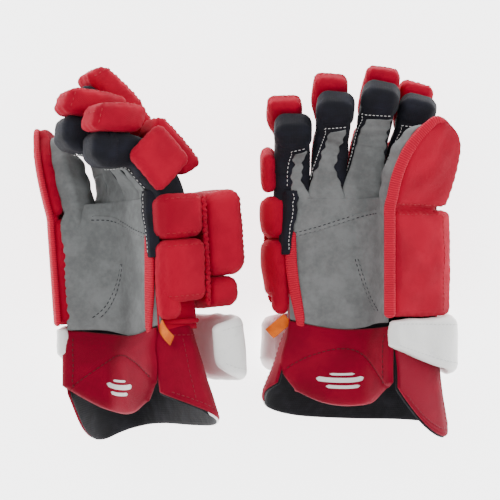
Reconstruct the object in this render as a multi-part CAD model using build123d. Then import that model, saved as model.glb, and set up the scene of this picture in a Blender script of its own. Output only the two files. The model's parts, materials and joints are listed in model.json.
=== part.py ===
"""A pair of padded ice hockey gloves, lying on a table with their palms up.

Each glove is made in its own frame and then laid on the table. In that frame +X points to the thumb
side, +Y to the fingertips and +Z out of the palm, and the origin is on the palm at the wrist. The left
glove is the mirror image of the right one, with its own finger curl, and lies rolled onto its thumb side.
All sizes are in millimetres and all angles in degrees.
"""

import os
from math import cos, radians, sin, tan

from build123d import *

# The hand compartment
PALM_WIDTH = 76.0  # the flat of the palm, from the little-finger edge to the ball of the thumb
PALM_LEFT = -58.0  # the little-finger edge
HAND_DEPTH = 44.0  # from the palm to the outside of the lining on the back of the hand
HAND_LENGTH = 116.0  # from the wrist to the knuckles
LINING_RIGHT = 82.0  # the thumb side of the lining
LINING_WALL = 3.0
PALM_THICK = 3.0
THENAR_RUN = 11.0  # the palm leather climbs the ball of the thumb over this width
THENAR_GAP = 1.1  # from its top to the pad of the thumb
TOUCH_GAP = 0.5  # room left between neighbouring pads

# Foam rolls on the back of the hand
BLOCK_DEEP = 42.0
BLOCK_LOW_Y = 42.0
BLOCK_LEFT, BLOCK_RIGHT = -80.0, 88.0
LOWER_ROLL_DEEP = 34.0
LOWER_ROLL_LOW_Y = 12.0
INSERT_THICK = 2.0
INSERT_GAP = 0.3
INSERT_MARGIN = 14.0

# Rolls on the little-finger side
SIDE_LEFT = -85.0
SIDE_DEEP = 42.0
SIDE_SPLIT = (8.0, HAND_LENGTH - 40.0, HAND_LENGTH - 37.0, HAND_LENGTH + 3.0)
LITTLE_SIDE_THICK = 12.5  # the third side roll, on the little finger

# Thumb: a sloping slab of foam over a leather stall
SLOPE = 36.0  # fall of the thumb's outer face towards the thumb side
THUMB_EDGE = (36.0, 62.0)  # the upper edge of that face, X and Z
THUMB_THICK = 15.0
THUMB_BLOCK_RUN = 56.0  # across the face, to where the block turns down
THUMB_BLOCK_DROP = (17.0, 26.0)  # from that turn to the lower edge, X and Z
THUMB_BLOCK_LOW_Y = 6.0
THUMB_JOINT_Y = HAND_LENGTH - 10.0
THUMB_TIP_Y = THUMB_JOINT_Y + 86.0
THUMB_OUTLINE = [  # in X, and in Y from the thumb's joint
    (36, 2), (37, 39), (44, 68), (55, 83), (68, 86), (82, 78), (90, 60), (91, 34), (88, 2),
]
THUMB_INSERT_RUN = (12.0, 54.0)  # where the insert lies across the thumb's face
STALL_RUN = (4.0, 58.0)  # where the stall meets the underside of the thumb's face
STALL_LOW = [(72, 7), (38, 9), (24, 20)]

# Fingers: where each one starts, how far it leans to the thumb side, and its two lengths
FINGER_NAMES = ("little", "ring", "middle", "index")
INDEX_X = 45.5
FINGER_WIDTH = 30.5
ROLL_WIDTH = FINGER_WIDTH + 1.5
FINGER_PITCH = ROLL_WIDTH + 1.5
FINGER_X = {name: INDEX_X - place * FINGER_PITCH for place, name in enumerate(FINGER_NAMES[::-1])}
FINGER_LEAN = {"little": -1.0, "ring": 4.0, "middle": 10.0, "index": 13.0}
KNUCKLE_LENGTH = {"little": 34.0, "ring": 44.0, "middle": 49.0, "index": 43.0}
TIP_LENGTH = {"little": 37.0, "ring": 46.0, "middle": 48.0, "index": 45.0}
KNUCKLE_FORWARD = {"little": 5.0, "ring": 9.0, "middle": 12.0, "index": 9.0}  # from the end of the hand
KNUCKLE_Z = {"little": -2.0, "ring": -2.0, "middle": -2.0, "index": -6.0}
FINGER_DEPTH = 30.0
FINGER_WALL = 2.5
FINGER_CORNER = 8.0
ROLL_DEEP = 24.0
ROLL_CHAMFER = 7.0
HINGE_GAP = 3.0  # from a finger hinge to the end of each piece beside it
OPEN_ANGLE = 12.0  # the wedge left open between two rolls at rest

# Cuff: outer sections at the wrist and at the far end, as (x, z) points from the little-finger side's
# upper edge, round the back, to the thumb side's upper edge
CUFF_TOP_Y = -5.0
CUFF_LONG = 110.0
CUFF_AT_WRIST = [(-60, 2), (-60, -46), (84, -46), (84, 4), (46, 42)]
CUFF_AT_END = [(-108, 8), (-86, -66), (98, -66), (98, -4), (62, 33)]
CUFF_SKIN = 4.0
CUFF_LINING = 2.5
CUFF_CUT = (-62.0, 0.55)  # where the cuff ends at palm level, and its slope towards the back
CUFF_WING = (38.0, 92.0, -112.0)  # the thumb side reaches further: start and tip in X, tip in Y
WRIST_ROLL_Y = (-48.0, 1.0)
WRIST_ROLL_THICK = 12.0
WRIST_ROLL_LEFT, WRIST_ROLL_RIGHT, WRIST_ROLL_BACK = -85.0, 102.0, -84.0
WRIST_ROLL_START = -46.0  # where it starts on the little-finger side
FLAP_HINGE = (-2.0, 6.0)  # Y and Z
FLAP_SECTION = [(-70, 3), (16, 3), (33, 42), (25, 46), (10, 12), (-70, 12)]
FLAP_OUTLINE = [
    (-50, -7), (29, -7), (30, -56), (17, -71), (-3, -80), (-28, -77), (-48, -74), (-63, -54), (-65, -44),
    (-57, -26),
]

# How each glove lies on the table: roll about its length, turn in the plane of the table, and place
POSES = {
    "right": {
        "roll": 0.0, "turn": 0.0, "place": (104.0, 0.0), "spread": 1.0, "thumb": 18.0, "flap": 0.0,
        "knuckle": {"little": 16.0, "ring": 14.0, "middle": 10.0, "index": 6.0},
        "tip": {"little": 30.0, "ring": 30.0, "middle": 26.0, "index": 22.0},
    },
    "left": {
        "roll": 60.0, "turn": 4.0, "place": (-104.0, -4.0), "spread": 0.5, "thumb": 10.0, "flap": 4.0,
        "knuckle": {"little": 40.0, "ring": 36.0, "middle": 14.0, "index": 8.0},
        "tip": {"little": 46.0, "ring": 44.0, "middle": 29.0, "index": 28.0},
    },
}


def prism(section, low_y, high_y):
    """A solid whose section, a list of (x, z) points, runs along Y."""
    plane = Plane(origin=(0, low_y, 0), x_dir=(1, 0, 0), z_dir=(0, -1, 0))
    return extrude(plane * Polygon(*section, align=None), amount=high_y - low_y, dir=(0, 1, 0))


def side_prism(profile, low_x, high_x):
    """A solid whose side view, a list of (y, z) points, runs along X."""
    plane = Plane(origin=(low_x, 0, 0), x_dir=(0, 1, 0), z_dir=(1, 0, 0))
    return extrude(plane * Polygon(*profile, align=None), amount=high_x - low_x, dir=(1, 0, 0))


def plate(outline, low_z, high_z):
    """A solid whose plan view, a list of (x, y) points, runs along Z."""
    return Pos(0, 0, low_z) * extrude(Polygon(*outline, align=None), amount=high_z - low_z, dir=(0, 0, 1))


def block(low, high):
    """A box between two corners."""
    size = [b - a for a, b in zip(low, high)]
    middle = [(a + b) / 2 for a, b in zip(low, high)]
    return Pos(*middle) * Box(*size)


def chamfered(low_x, high_x, low_z, high_z, cut):
    """A section of (x, z) points, with its two back corners cut off."""
    return [
        (low_x, high_z), (high_x, high_z), (high_x, low_z + cut),
        (high_x - cut, low_z), (low_x + cut, low_z), (low_x, low_z + cut),
    ]


def hand_parts(pose):
    """The pieces that are fixed to the hand compartment."""
    outer, inner = -HAND_DEPTH, -HAND_DEPTH + LINING_WALL
    right = LINING_RIGHT
    lining = prism(
        [
            (PALM_LEFT, 0), (PALM_LEFT, outer), (right, outer), (right, -6), (right - LINING_WALL, -6),
            (right - LINING_WALL, inner), (PALM_LEFT + LINING_WALL, inner), (PALM_LEFT + LINING_WALL, 0),
        ],
        2, HAND_LENGTH,
    )
    turn = PALM_LEFT + PALM_WIDTH
    climb = turn + 2 + THENAR_RUN
    high = under_thumb(climb) - THENAR_GAP
    palm = prism(
        [
            (PALM_LEFT, 0), (turn + 2, 0), (climb, high), (climb - PALM_THICK, high), (turn, PALM_THICK),
            (PALM_LEFT, PALM_THICK),
        ],
        0, THUMB_JOINT_Y - 2,
    )
    lean = tan(radians((sum(pose["knuckle"].values()) / len(FINGER_NAMES) - OPEN_ANGLE) / 2))
    front = HAND_LENGTH + 2
    back = outer - BLOCK_DEEP
    big_block = side_prism(
        [(BLOCK_LOW_Y, outer), (front, outer), (front - (back - outer) * lean, back + 8),
         (front - (back - outer) * lean - 8, back), (BLOCK_LOW_Y + 8, back), (BLOCK_LOW_Y, back + 8)],
        BLOCK_LEFT, BLOCK_RIGHT,
    ) & prism(chamfered(BLOCK_LEFT, BLOCK_RIGHT, back, outer, 14), 0, 2 * HAND_LENGTH)
    insert_low = (BLOCK_LEFT + INSERT_MARGIN, BLOCK_LOW_Y + INSERT_MARGIN, outer - INSERT_GAP - INSERT_THICK)
    insert_high = (BLOCK_RIGHT - INSERT_MARGIN, HAND_LENGTH - INSERT_MARGIN, outer - INSERT_GAP)
    insert = block(insert_low, insert_high)
    pocket_high = (insert_high[0] + INSERT_GAP, insert_high[1] + INSERT_GAP, outer)
    pocket = block([v - INSERT_GAP for v in insert_low], pocket_high)
    low_back = outer - LOWER_ROLL_DEEP
    lower_roll = side_prism(
        [(LOWER_ROLL_LOW_Y, outer), (BLOCK_LOW_Y - TOUCH_GAP, outer), (BLOCK_LOW_Y - TOUCH_GAP, low_back + 6),
         (BLOCK_LOW_Y - 6, low_back), (LOWER_ROLL_LOW_Y + 6, low_back), (LOWER_ROLL_LOW_Y, low_back + 6)],
        BLOCK_LEFT + 4, BLOCK_RIGHT - 6,
    )
    side_section = [
        (PALM_LEFT - TOUCH_GAP, 0), (PALM_LEFT - TOUCH_GAP, -SIDE_DEEP), (SIDE_LEFT, -SIDE_DEEP),
        (SIDE_LEFT, -16), (SIDE_LEFT + 8, -4), (SIDE_LEFT + 16, 0),
    ]
    first, second, third, fourth = SIDE_SPLIT
    side_rolls = prism(side_section, first, second) + prism(side_section, third, fourth)
    return {
        "hand_lining": lining, "palm": palm, "back_block": big_block - pocket, "back_insert": insert,
        "lower_roll": lower_roll, "side_rolls": side_rolls, "thumb_block": thumb_block(),
    }


def slope_point(run, depth):
    """The (x, z) point at a run across the thumb's outer face and a depth under it."""
    slope = radians(SLOPE)
    x = THUMB_EDGE[0] + run * cos(slope) - depth * sin(slope)
    z = THUMB_EDGE[1] - run * sin(slope) - depth * cos(slope)
    return (x, z)


def under_thumb(x):
    """The height of the underside of the thumb's pad at an X."""
    slope = radians(SLOPE)
    return THUMB_EDGE[1] - THUMB_THICK / cos(slope) - (x - THUMB_EDGE[0]) * tan(slope)


def thumb_block():
    """The thick pad at the thumb's root, which turns down along its outer edge."""
    turn = slope_point(THUMB_BLOCK_RUN, 0)
    low = (turn[0] + THUMB_BLOCK_DROP[0], turn[1] - THUMB_BLOCK_DROP[1])
    section = [
        slope_point(0, 0), turn, low, (low[0] - 13, low[1] - 8),
        slope_point(THUMB_BLOCK_RUN - 3, THUMB_THICK), slope_point(0, THUMB_THICK),
    ]
    return prism(section, THUMB_BLOCK_LOW_Y, THUMB_JOINT_Y - 2)


def slope_slab(low_run, high_run, low_depth, high_depth):
    """A section under the thumb's outer face, between two runs and two depths."""
    corners = ((low_run, low_depth), (high_run, low_depth), (high_run, high_depth), (low_run, high_depth))
    return [slope_point(run, depth) for run, depth in corners]


def thumb_parts(pose):
    """The upper thumb: its foam shell, the plastic insert in it and the leather stall under it."""
    window = plate([(x, THUMB_JOINT_Y + y) for x, y in THUMB_OUTLINE], -40, 120)
    shell = prism(slope_slab(-5, 72, 0, THUMB_THICK), THUMB_JOINT_Y + 2, THUMB_TIP_Y + 4) & window
    depth = THUMB_THICK - INSERT_THICK - INSERT_GAP
    low_run, high_run = THUMB_INSERT_RUN
    low_y, high_y = THUMB_JOINT_Y + INSERT_MARGIN, THUMB_TIP_Y - 26
    insert = prism(slope_slab(low_run, high_run, depth, THUMB_THICK), low_y, high_y)
    gap = INSERT_GAP
    pocket = prism(
        slope_slab(low_run - gap, high_run + gap, depth - gap, THUMB_THICK + 1), low_y - gap, high_y + gap,
    )
    parts = {"thumb_shell": shell - pocket, "thumb_insert": insert, "thumb_stall": thumb_stall()}
    joint = thumb_joint_place(pose)
    return {name: joint * solid for name, solid in parts.items()}


def thumb_stall():
    """The hollow stall under the thumb's face, with its underside cut away towards the tip."""
    top = [slope_point(run, THUMB_THICK + TOUCH_GAP) for run in STALL_RUN]
    inner_top = [slope_point(run, THUMB_THICK + 4) for run in (STALL_RUN[0] + 5, STALL_RUN[1] - 6)]
    inner_low = [(x + dx, z + 2.5) for (x, z), dx in zip(STALL_LOW, (-1.5, 1.3, 4.0))]
    high = THUMB_TIP_Y - 12
    outside = prism(top + STALL_LOW, THUMB_JOINT_Y + 2, high)
    inside = prism(inner_top + inner_low, THUMB_JOINT_Y, high - 5)
    under_tip = side_prism([(high - 26, -1), (high + 1, -1), (high + 1, 26)], 0, 120)
    return outside - inside - under_tip


def thumb_joint_place(pose):
    """The move that swings the upper thumb out of the palm by the pose's angle."""
    x, z = slope_point(30, 0)
    axis = Axis((x, THUMB_JOINT_Y, z), (cos(radians(SLOPE)), 0, -sin(radians(SLOPE))))
    return turn_about(axis, pose["thumb"])


def turn_about(axis, angle):
    """The move that turns a shape about an axis."""
    place = Plane(origin=axis.position, z_dir=axis.direction)
    return place.location * Rot(0, 0, angle) * place.location.inverse()


def finger_places(name, pose):
    """The frames of a finger's two hinges: at the knuckle and at the middle joint."""
    start = Pos(FINGER_X[name], HAND_LENGTH + KNUCKLE_FORWARD[name], KNUCKLE_Z[name])
    root = start * Rot(0, 0, -FINGER_LEAN[name] * pose["spread"])
    knuckle = root * Rot(pose["knuckle"][name], 0, 0)
    middle = knuckle * Pos(0, KNUCKLE_LENGTH[name], 0) * Rot(pose["tip"][name], 0, 0)
    return knuckle, middle


def roll(length, near, far, width, tip=0.0):
    """A foam roll behind a finger segment: each end leans out by its angle as it goes back."""
    top, back = -FINGER_DEPTH - TOUCH_GAP, -FINGER_DEPTH - ROLL_DEEP
    end = length - HINGE_GAP if not tip else length + tip
    near_lean, far_lean = tan(radians(near)), tan(radians(far))
    profile = [
        (HINGE_GAP - top * -near_lean, top), (end - top * far_lean, top), (end - back * far_lean - tip, back),
        (HINGE_GAP - back * -near_lean, back),
    ]
    section = chamfered(-width / 2, width / 2, back, top, ROLL_CHAMFER)
    return side_prism(profile, -width / 2, width / 2) & prism(section, -2 * length, 3 * length)


def tube(low_y, high_y, closed_end=0.0):
    """A finger stall: a rounded tube along Y, closed at its far end if an end thickness is given."""
    plane = Plane(origin=(0, low_y, 1 - FINGER_DEPTH / 2), x_dir=(1, 0, 0), z_dir=(0, 1, 0))
    long, wall = high_y - low_y, FINGER_WALL
    outside = RectangleRounded(FINGER_WIDTH, FINGER_DEPTH, FINGER_CORNER)
    inside = RectangleRounded(FINGER_WIDTH - 2 * wall, FINGER_DEPTH - 2 * wall, FINGER_CORNER - wall)
    return extrude(plane * outside, amount=long) - extrude(plane * inside, amount=long - closed_end)


def finger_parts(name, pose):
    """One finger: a stall and a roll on the first segment, and a cap and a roll on the tip."""
    knuckle, middle = finger_places(name, pose)
    long, tip = KNUCKLE_LENGTH[name], TIP_LENGTH[name]
    lean_low = (pose["knuckle"][name] - OPEN_ANGLE) / 2
    lean_high = (pose["tip"][name] - OPEN_ANGLE) / 2
    stall = tube(HINGE_GAP, long - HINGE_GAP)
    cap = tube(HINGE_GAP, tip, 4)
    knuckle_roll = roll(long, lean_low, lean_high, ROLL_WIDTH)
    if name == FINGER_NAMES[0]:
        edge = -ROLL_WIDTH / 2 - TOUCH_GAP
        outer = edge - LITTLE_SIDE_THICK
        section = [(edge, 0), (edge, -SIDE_DEEP), (outer, -SIDE_DEEP + 4), (outer, -4)]
        knuckle_roll = knuckle_roll + prism(section, HINGE_GAP + 2, long - HINGE_GAP)
    tip_roll = roll(tip, lean_high, 0, ROLL_WIDTH, tip=6)
    return {
        f"{name}_stall": knuckle * stall, f"{name}_knuckle_roll": knuckle * knuckle_roll,
        f"{name}_tip_cap": middle * cap, f"{name}_tip_roll": middle * tip_roll,
    }


def cuff_section(flare, inset):
    """The cuff's section at its wrist (flare 0), at its end (flare 1) or between, moved in by an inset."""
    shifts = [(inset, 0), (inset, inset), (-inset, inset), (-inset, 0), (-inset, 0)]
    return [
        (x0 + (x1 - x0) * flare + dx, z0 + (z1 - z0) * flare + dz)
        for (x0, z0), (x1, z1), (dx, dz) in zip(CUFF_AT_WRIST, CUFF_AT_END, shifts)
    ]


def cuff_wall(outer_inset, inner_inset):
    """A flared wall between two insets, open on the palm side, with its end trimmed."""
    sketches = []
    for flare, y in ((0, CUFF_TOP_Y), (1, CUFF_TOP_Y - CUFF_LONG)):
        points = cuff_section(flare, outer_inset) + cuff_section(flare, inner_inset)[::-1]
        plane = Plane(origin=(0, y, 0), x_dir=(1, 0, 0), z_dir=(0, -1, 0))
        sketches.append(plane * Polygon(*points, align=None))
    return loft(sketches, ruled=True) - cuff_end_trim()


def cuff_end_trim():
    """What is cut off the cuff's end: a slant towards the back, and a longer wing on the thumb side."""
    end_y, slope = CUFF_CUT
    wing_x, tip_x, tip_y = CUFF_WING
    far, low, split, high = -300, -150, -25, 90
    back_y, split_y = end_y + low * slope, end_y + split * slope
    back = side_prism([(far, low), (back_y, low), (split_y, split), (far, split)], far, tip_x - 12)
    thumb_back = side_prism([(far, low), (tip_y + 32, low), (tip_y, split), (far, split)], tip_x - 12, -far)
    palm_profile = [(far, split), (split_y, split), (end_y, 0), (end_y + 6, high), (far, high)]
    palm_side = side_prism(palm_profile, far, wing_x)
    wing = plate([(wing_x, far), (wing_x, end_y), (tip_x, tip_y), (-far, tip_y), (-far, far)], split, high)
    return back + thumb_back + palm_side + wing


def wrist_roll():
    """The thick band round the back of the wrist, from the thumb's edge to the little-finger side."""
    left, right, back, t = WRIST_ROLL_LEFT, WRIST_ROLL_RIGHT, WRIST_ROLL_BACK, WRIST_ROLL_THICK
    edge_x, edge_z = THUMB_EDGE
    outer = [
        (edge_x + 2, edge_z - 1), (right, 17), (right, back + 20), (right - 16, back), (left + 12, back),
        (left, back + 14), (left, WRIST_ROLL_START),
    ]
    inner = [
        (left + t, WRIST_ROLL_START), (left + t, back + t), (right - t, back + t), (right - t, 12),
        (edge_x - 1.5, edge_z - 10),
    ]
    return prism(outer + inner, *WRIST_ROLL_Y)


def cuff_parts():
    """The flared cuff, its lining and the band round the wrist."""
    return {
        "cuff_shell": cuff_wall(0, CUFF_SKIN), "cuff_lining": cuff_wall(CUFF_SKIN, CUFF_SKIN + CUFF_LINING),
        "wrist_roll": wrist_roll(),
    }


def flap_parts(pose):
    """The padded flap that covers the inside of the wrist and climbs the ball of the thumb."""
    y, z = FLAP_HINGE
    swing = turn_about(Axis((0, y, z), (1, 0, 0)), -pose["flap"])
    off = side_prism([(-6, 12), (-32, 58), (10, 58), (10, 12)], -200, 200)
    return {"cuff_flap": swing * (prism(FLAP_SECTION, -100, 0) & plate(FLAP_OUTLINE, -20, 80)) - swing * off}


def glove_bodies(pose):
    """Every piece of a right glove in its own frame, by the body that it moves with."""
    bodies = {
        "hand": hand_parts(pose), "thumb": thumb_parts(pose), "cuff": cuff_parts(), "flap": flap_parts(pose),
    }
    for name in FINGER_NAMES:
        parts = finger_parts(name, pose)
        bodies[name] = {n: s for n, s in parts.items() if "tip" not in n}
        bodies[f"{name}_end"] = {n: s for n, s in parts.items() if "tip" in n}
    return bodies


def lay_down(side, solids):
    """The move that lays a glove's solids, already mirrored if it is the left one, on the table."""
    pose = POSES[side]
    across = -pose["roll"] if side == "left" else pose["roll"]
    turned = Rot(0, 0, pose["turn"]) * Rot(0, across, 0)
    low = min((turned * s).bounding_box().min.Z for s in solids)
    return Pos(pose["place"][0], pose["place"][1], -low) * turned


def make_pair():
    """Both gloves on the table, as {side: (move, {body: {node: solid}})}, before the pair is centred."""
    pair = {}
    for side in ("right", "left"):
        bodies = glove_bodies(POSES[side])
        if side == "left":
            bodies = {b: {n: s.mirror(Plane.YZ) for n, s in parts.items()} for b, parts in bodies.items()}
        move = lay_down(side, [s for parts in bodies.values() for s in parts.values()])
        placed = {b: {n: move * s for n, s in parts.items()} for b, parts in bodies.items()}
        pair[side] = (move, placed)
    return pair


def centre_shift(pair):
    """The shift that brings the middle of the pair's footprint over the origin."""
    bodies = [parts for _, placed in pair.values() for parts in placed.values()]
    boxes = [solid.bounding_box() for parts in bodies for solid in parts.values()]
    middle_x = (min(b.min.X for b in boxes) + max(b.max.X for b in boxes)) / 2
    middle_y = (min(b.min.Y for b in boxes) + max(b.max.Y for b in boxes)) / 2
    return Pos(-middle_x, -middle_y, 0)


def main():
    pair = make_pair()
    shift = centre_shift(pair)
    os.makedirs("parts", exist_ok=True)
    for side, (_, bodies) in pair.items():
        for parts in bodies.values():
            for name, solid in parts.items():
                export_step(Compound((shift * solid).solids()), f"parts/{side}_{name}.step")


if __name__ == "__main__":
    main()
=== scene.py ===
"""A pair of ice hockey gloves: the stuffed rolls, leather palms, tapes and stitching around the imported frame.

Every glove is worked out in its own frame, in millimetres: +X points to the thumb side, +Y to the
fingertips and +Z out of the palm, with the origin on the palm at the wrist. The left glove's frame is the
mirror image of the right one's. Frames, places and sizes come from the frame's joints and nodes.
"""

import json
import math

import bpy
import numpy as np
from bpy.props import FloatProperty, FloatVectorProperty, PointerProperty
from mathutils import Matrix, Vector


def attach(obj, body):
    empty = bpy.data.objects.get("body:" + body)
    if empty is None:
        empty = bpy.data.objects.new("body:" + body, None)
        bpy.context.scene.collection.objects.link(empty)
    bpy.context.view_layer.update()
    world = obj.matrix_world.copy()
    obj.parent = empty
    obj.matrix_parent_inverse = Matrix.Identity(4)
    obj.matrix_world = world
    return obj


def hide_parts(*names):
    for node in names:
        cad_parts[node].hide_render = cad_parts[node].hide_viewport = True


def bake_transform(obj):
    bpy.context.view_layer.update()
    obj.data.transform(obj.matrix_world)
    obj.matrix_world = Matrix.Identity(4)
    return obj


bl_info = {
    "name": "Ice Hockey Gloves",
    "version": (1, 0, 0),
    "blender": (4, 5, 0),
    "location": "3D View > Sidebar > Gloves",
    "description": "Builds a pair of padded ice hockey gloves on a packed frame",
    "category": "Add Mesh",
}

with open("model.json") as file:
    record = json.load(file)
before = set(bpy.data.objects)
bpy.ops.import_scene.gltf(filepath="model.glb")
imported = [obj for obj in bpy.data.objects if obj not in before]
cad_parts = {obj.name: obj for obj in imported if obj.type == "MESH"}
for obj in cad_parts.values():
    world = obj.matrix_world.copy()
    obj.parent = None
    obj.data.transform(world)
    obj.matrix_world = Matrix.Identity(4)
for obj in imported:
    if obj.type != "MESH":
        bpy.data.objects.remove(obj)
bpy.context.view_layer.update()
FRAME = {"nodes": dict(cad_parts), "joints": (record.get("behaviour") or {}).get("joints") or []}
SIDES = ("right", "left")
FINGERS = ("little", "ring", "middle", "index")
MM = 0.001
PRESSED_LAYER = 4.0 * MM  # how high above the floor soft goods begin to be pressed flat
STITCH_GAP = 0.55  # the gap after a stitch, as a share of its length


# ---------------------------------------------------------------- sizes and colours that a user may change


class GloveSizes(bpy.types.PropertyGroup):
    """Sizes of the sewn details, in metres."""

    crown: FloatProperty(name="Crown", description="How far a stuffed face stands out in its middle",
                         default=0.0022, min=0.0, max=0.008, unit="LENGTH")
    pucker: FloatProperty(name="Pucker", description="Height of the gathers beside a seam",
                          default=0.0005, min=0.0, max=0.002, unit="LENGTH")
    tape_width: FloatProperty(name="Tape width", description="Width of the ribbed tape on the thumb",
                              default=0.0095, min=0.004, max=0.02, unit="LENGTH")
    rib_pitch: FloatProperty(name="Rib pitch", description="Distance between the ribs of the tape",
                             default=0.0021, min=0.001, max=0.005, unit="LENGTH")
    stitch: FloatProperty(name="Stitch length", description="Length of one visible stitch",
                          default=0.003, min=0.001, max=0.008, unit="LENGTH")
    thread: FloatProperty(name="Thread radius", description="Radius of the sewing thread",
                          default=0.00042, min=0.0002, max=0.001, unit="LENGTH")
    weave: FloatProperty(name="Weave pitch", description="Distance between two ridges of the twill",
                         default=0.0013, min=0.0005, max=0.004, unit="LENGTH")


class GloveColours(bpy.types.PropertyGroup):
    """Base colours of the fabrics and leathers."""

    red: FloatVectorProperty(name="Red shell", description="Woven nylon of the rolls", subtype="COLOR",
                             default=(0.40, 0.001, 0.022), min=0.0, max=1.0)
    crimson: FloatVectorProperty(name="Crimson cuff", description="Nylon of the cuff and flap",
                                 subtype="COLOR", default=(0.235, 0.0008, 0.017), min=0.0, max=1.0)
    tape: FloatVectorProperty(name="Tape", description="Ribbed binding tape", subtype="COLOR",
                              default=(0.55, 0.001, 0.03), min=0.0, max=1.0)
    suede: FloatVectorProperty(name="Suede", description="Palm leather", subtype="COLOR",
                               default=(0.16, 0.168, 0.168), min=0.0, max=1.0)
    black: FloatVectorProperty(name="Black nylon", description="Stretch fabric of the fingers",
                               subtype="COLOR", default=(0.0055, 0.006, 0.011), min=0.0, max=1.0)
    white: FloatVectorProperty(name="White band", description="Soft leather round the wrist", subtype="COLOR",
                               default=(0.93, 0.93, 0.91), min=0.0, max=1.0)
    orange: FloatVectorProperty(name="Tag", description="Woven tag", subtype="COLOR",
                                default=(0.80, 0.12, 0.004), min=0.0, max=1.0)


def sizes():
    return bpy.context.scene.glove_sizes


def colours():
    return bpy.context.scene.glove_colours


# ---------------------------------------------------------------- shader maths


class Socket:
    """A shader socket that takes part in Python arithmetic: each operator adds one Math node."""

    def __init__(self, shade, socket):
        self.shade = shade
        self.socket = socket

    def math(self, operation, *others):
        return self.shade.node("ShaderNodeMath", {"operation": operation}, [self, *others])

    def __add__(self, other):
        return self.math("ADD", other)

    def __sub__(self, other):
        return self.math("SUBTRACT", other)

    def __rsub__(self, other):
        return self.shade.node("ShaderNodeMath", {"operation": "SUBTRACT"}, [other, self])

    def __mul__(self, other):
        return self.math("MULTIPLY", other)

    __radd__ = __add__
    __rmul__ = __mul__

    def sin(self):
        return self.math("SINE")

    def clamp(self):
        return self.shade.node("ShaderNodeClamp", {}, [self])

    def between(self, low, high):
        """0 below low, 1 above high, and a smooth step between them."""
        settings = {"interpolation_type": "SMOOTHSTEP"}
        return self.shade.node("ShaderNodeMapRange", settings, [self, low, high, 0.0, 1.0])


class Shade:
    """Builds one material's nodes."""

    def __init__(self, name):
        self.material = bpy.data.materials.get(name)
        self.fresh = self.material is None
        if self.fresh:
            self.material = bpy.data.materials.new(name)
            self.material.use_nodes = True
            self.tree = self.material.node_tree
            self.shader = self.tree.nodes["Principled BSDF"]

    def node(self, kind, settings=None, inputs=(), output=0):
        """Adds a node: its settings first, then its sockets' values or links, and returns one output."""
        made = self.tree.nodes.new(kind)
        for key, value in (settings or {}).items():
            setattr(made, key, value)
        pairs = inputs.items() if isinstance(inputs, dict) else enumerate(inputs)
        for key, value in pairs:
            self.feed(made.inputs[key], value)
        return Socket(self, made.outputs[output])

    def feed(self, target, value):
        if isinstance(value, Socket):
            self.tree.links.new(value.socket, target)
        else:
            target.default_value = value

    def mix(self, factor, a, b):
        """A colour between a and b."""
        ready = [value if isinstance(value, Socket) else (*value, 1.0) for value in (a, b)]
        settings = {"data_type": "RGBA"}
        return self.node("ShaderNodeMix", settings, {0: factor, 6: ready[0], 7: ready[1]}, output=2)

    def noise(self, place, scale, detail=3.0, roughness=0.55):
        inputs = {"Vector": place, "Scale": scale, "Detail": detail, "Roughness": roughness}
        return self.node("ShaderNodeTexNoise", {}, inputs)

    def bump(self, height, distance, strength, under=None):
        inputs = {"Strength": strength, "Distance": distance, "Height": height}
        if under is not None:
            inputs["Normal"] = under
        return self.node("ShaderNodeBump", {}, inputs)

    def place(self):
        """The point in the object's own space, in metres."""
        return self.node("ShaderNodeTexCoord", {}, (), output=3)

    def cloth(self):
        """The point on the cloth, in metres, as (across, along)."""
        uv = self.node("ShaderNodeTexCoord", {}, (), output=2)
        split = self.tree.nodes.new("ShaderNodeSeparateXYZ")
        self.feed(split.inputs[0], uv)
        return Socket(self, split.outputs[0]), Socket(self, split.outputs[1])

    def finish(self, colour, roughness, normal=None, **fixed):
        self.feed(self.shader.inputs["Base Color"], colour if isinstance(colour, Socket) else (*colour, 1.0))
        self.feed(self.shader.inputs["Roughness"], roughness)
        if normal is not None:
            self.feed(self.shader.inputs["Normal"], normal)
        for key, value in fixed.items():
            self.shader.inputs[key.replace("_", " ")].default_value = value


def tone(colour, factor):
    """A colour made lighter or darker."""
    return tuple(min(1.0, channel * factor) for channel in colour)


def woven_nylon(shade, colour):
    """Tight twill: diagonal ridges cut by a crossing yarn, over slow fading from rubbing; the weave is also
    painted into the colour, as a painted highlight on its ridges and painted shade in its grooves.
    """
    across, along = shade.cloth()
    turn = 2 * math.pi / sizes().weave
    ridge = ((across + along) * turn).sin() * 0.5 + 0.5
    yarn = ((across - along) * (turn * 1.7)).sin() * 0.5 + 0.5
    weave = ridge * 0.7 + ridge * yarn * 0.3
    place = shade.place()
    fade = shade.noise(place, 22.0, 4.0)
    lint = shade.noise(place, 900.0, 2.0).between(0.62, 0.8)
    # Real fading mixed with the weave: painted highlight on the twill's ridges, painted shade in its grooves.
    fade_and_weave_shading = (fade.between(0.35, 0.7) * 0.7 + weave * 0.3).clamp()
    base = shade.mix(fade_and_weave_shading, tone(colour, 0.74), tone(colour, 1.16))
    base = shade.mix(lint * 0.16, base, tone(colour, 1.7))
    folds = shade.noise(place, 95.0, 3.0)
    soft = shade.bump(folds, 0.0011, 0.5)
    normal = shade.bump(weave, 0.00022, 0.75, soft)
    shade.finish(base, 0.72 + fade * 0.12, normal, Sheen_Weight=0.03, Sheen_Roughness=0.5,
                 Specular_IOR_Level=0.1)


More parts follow.
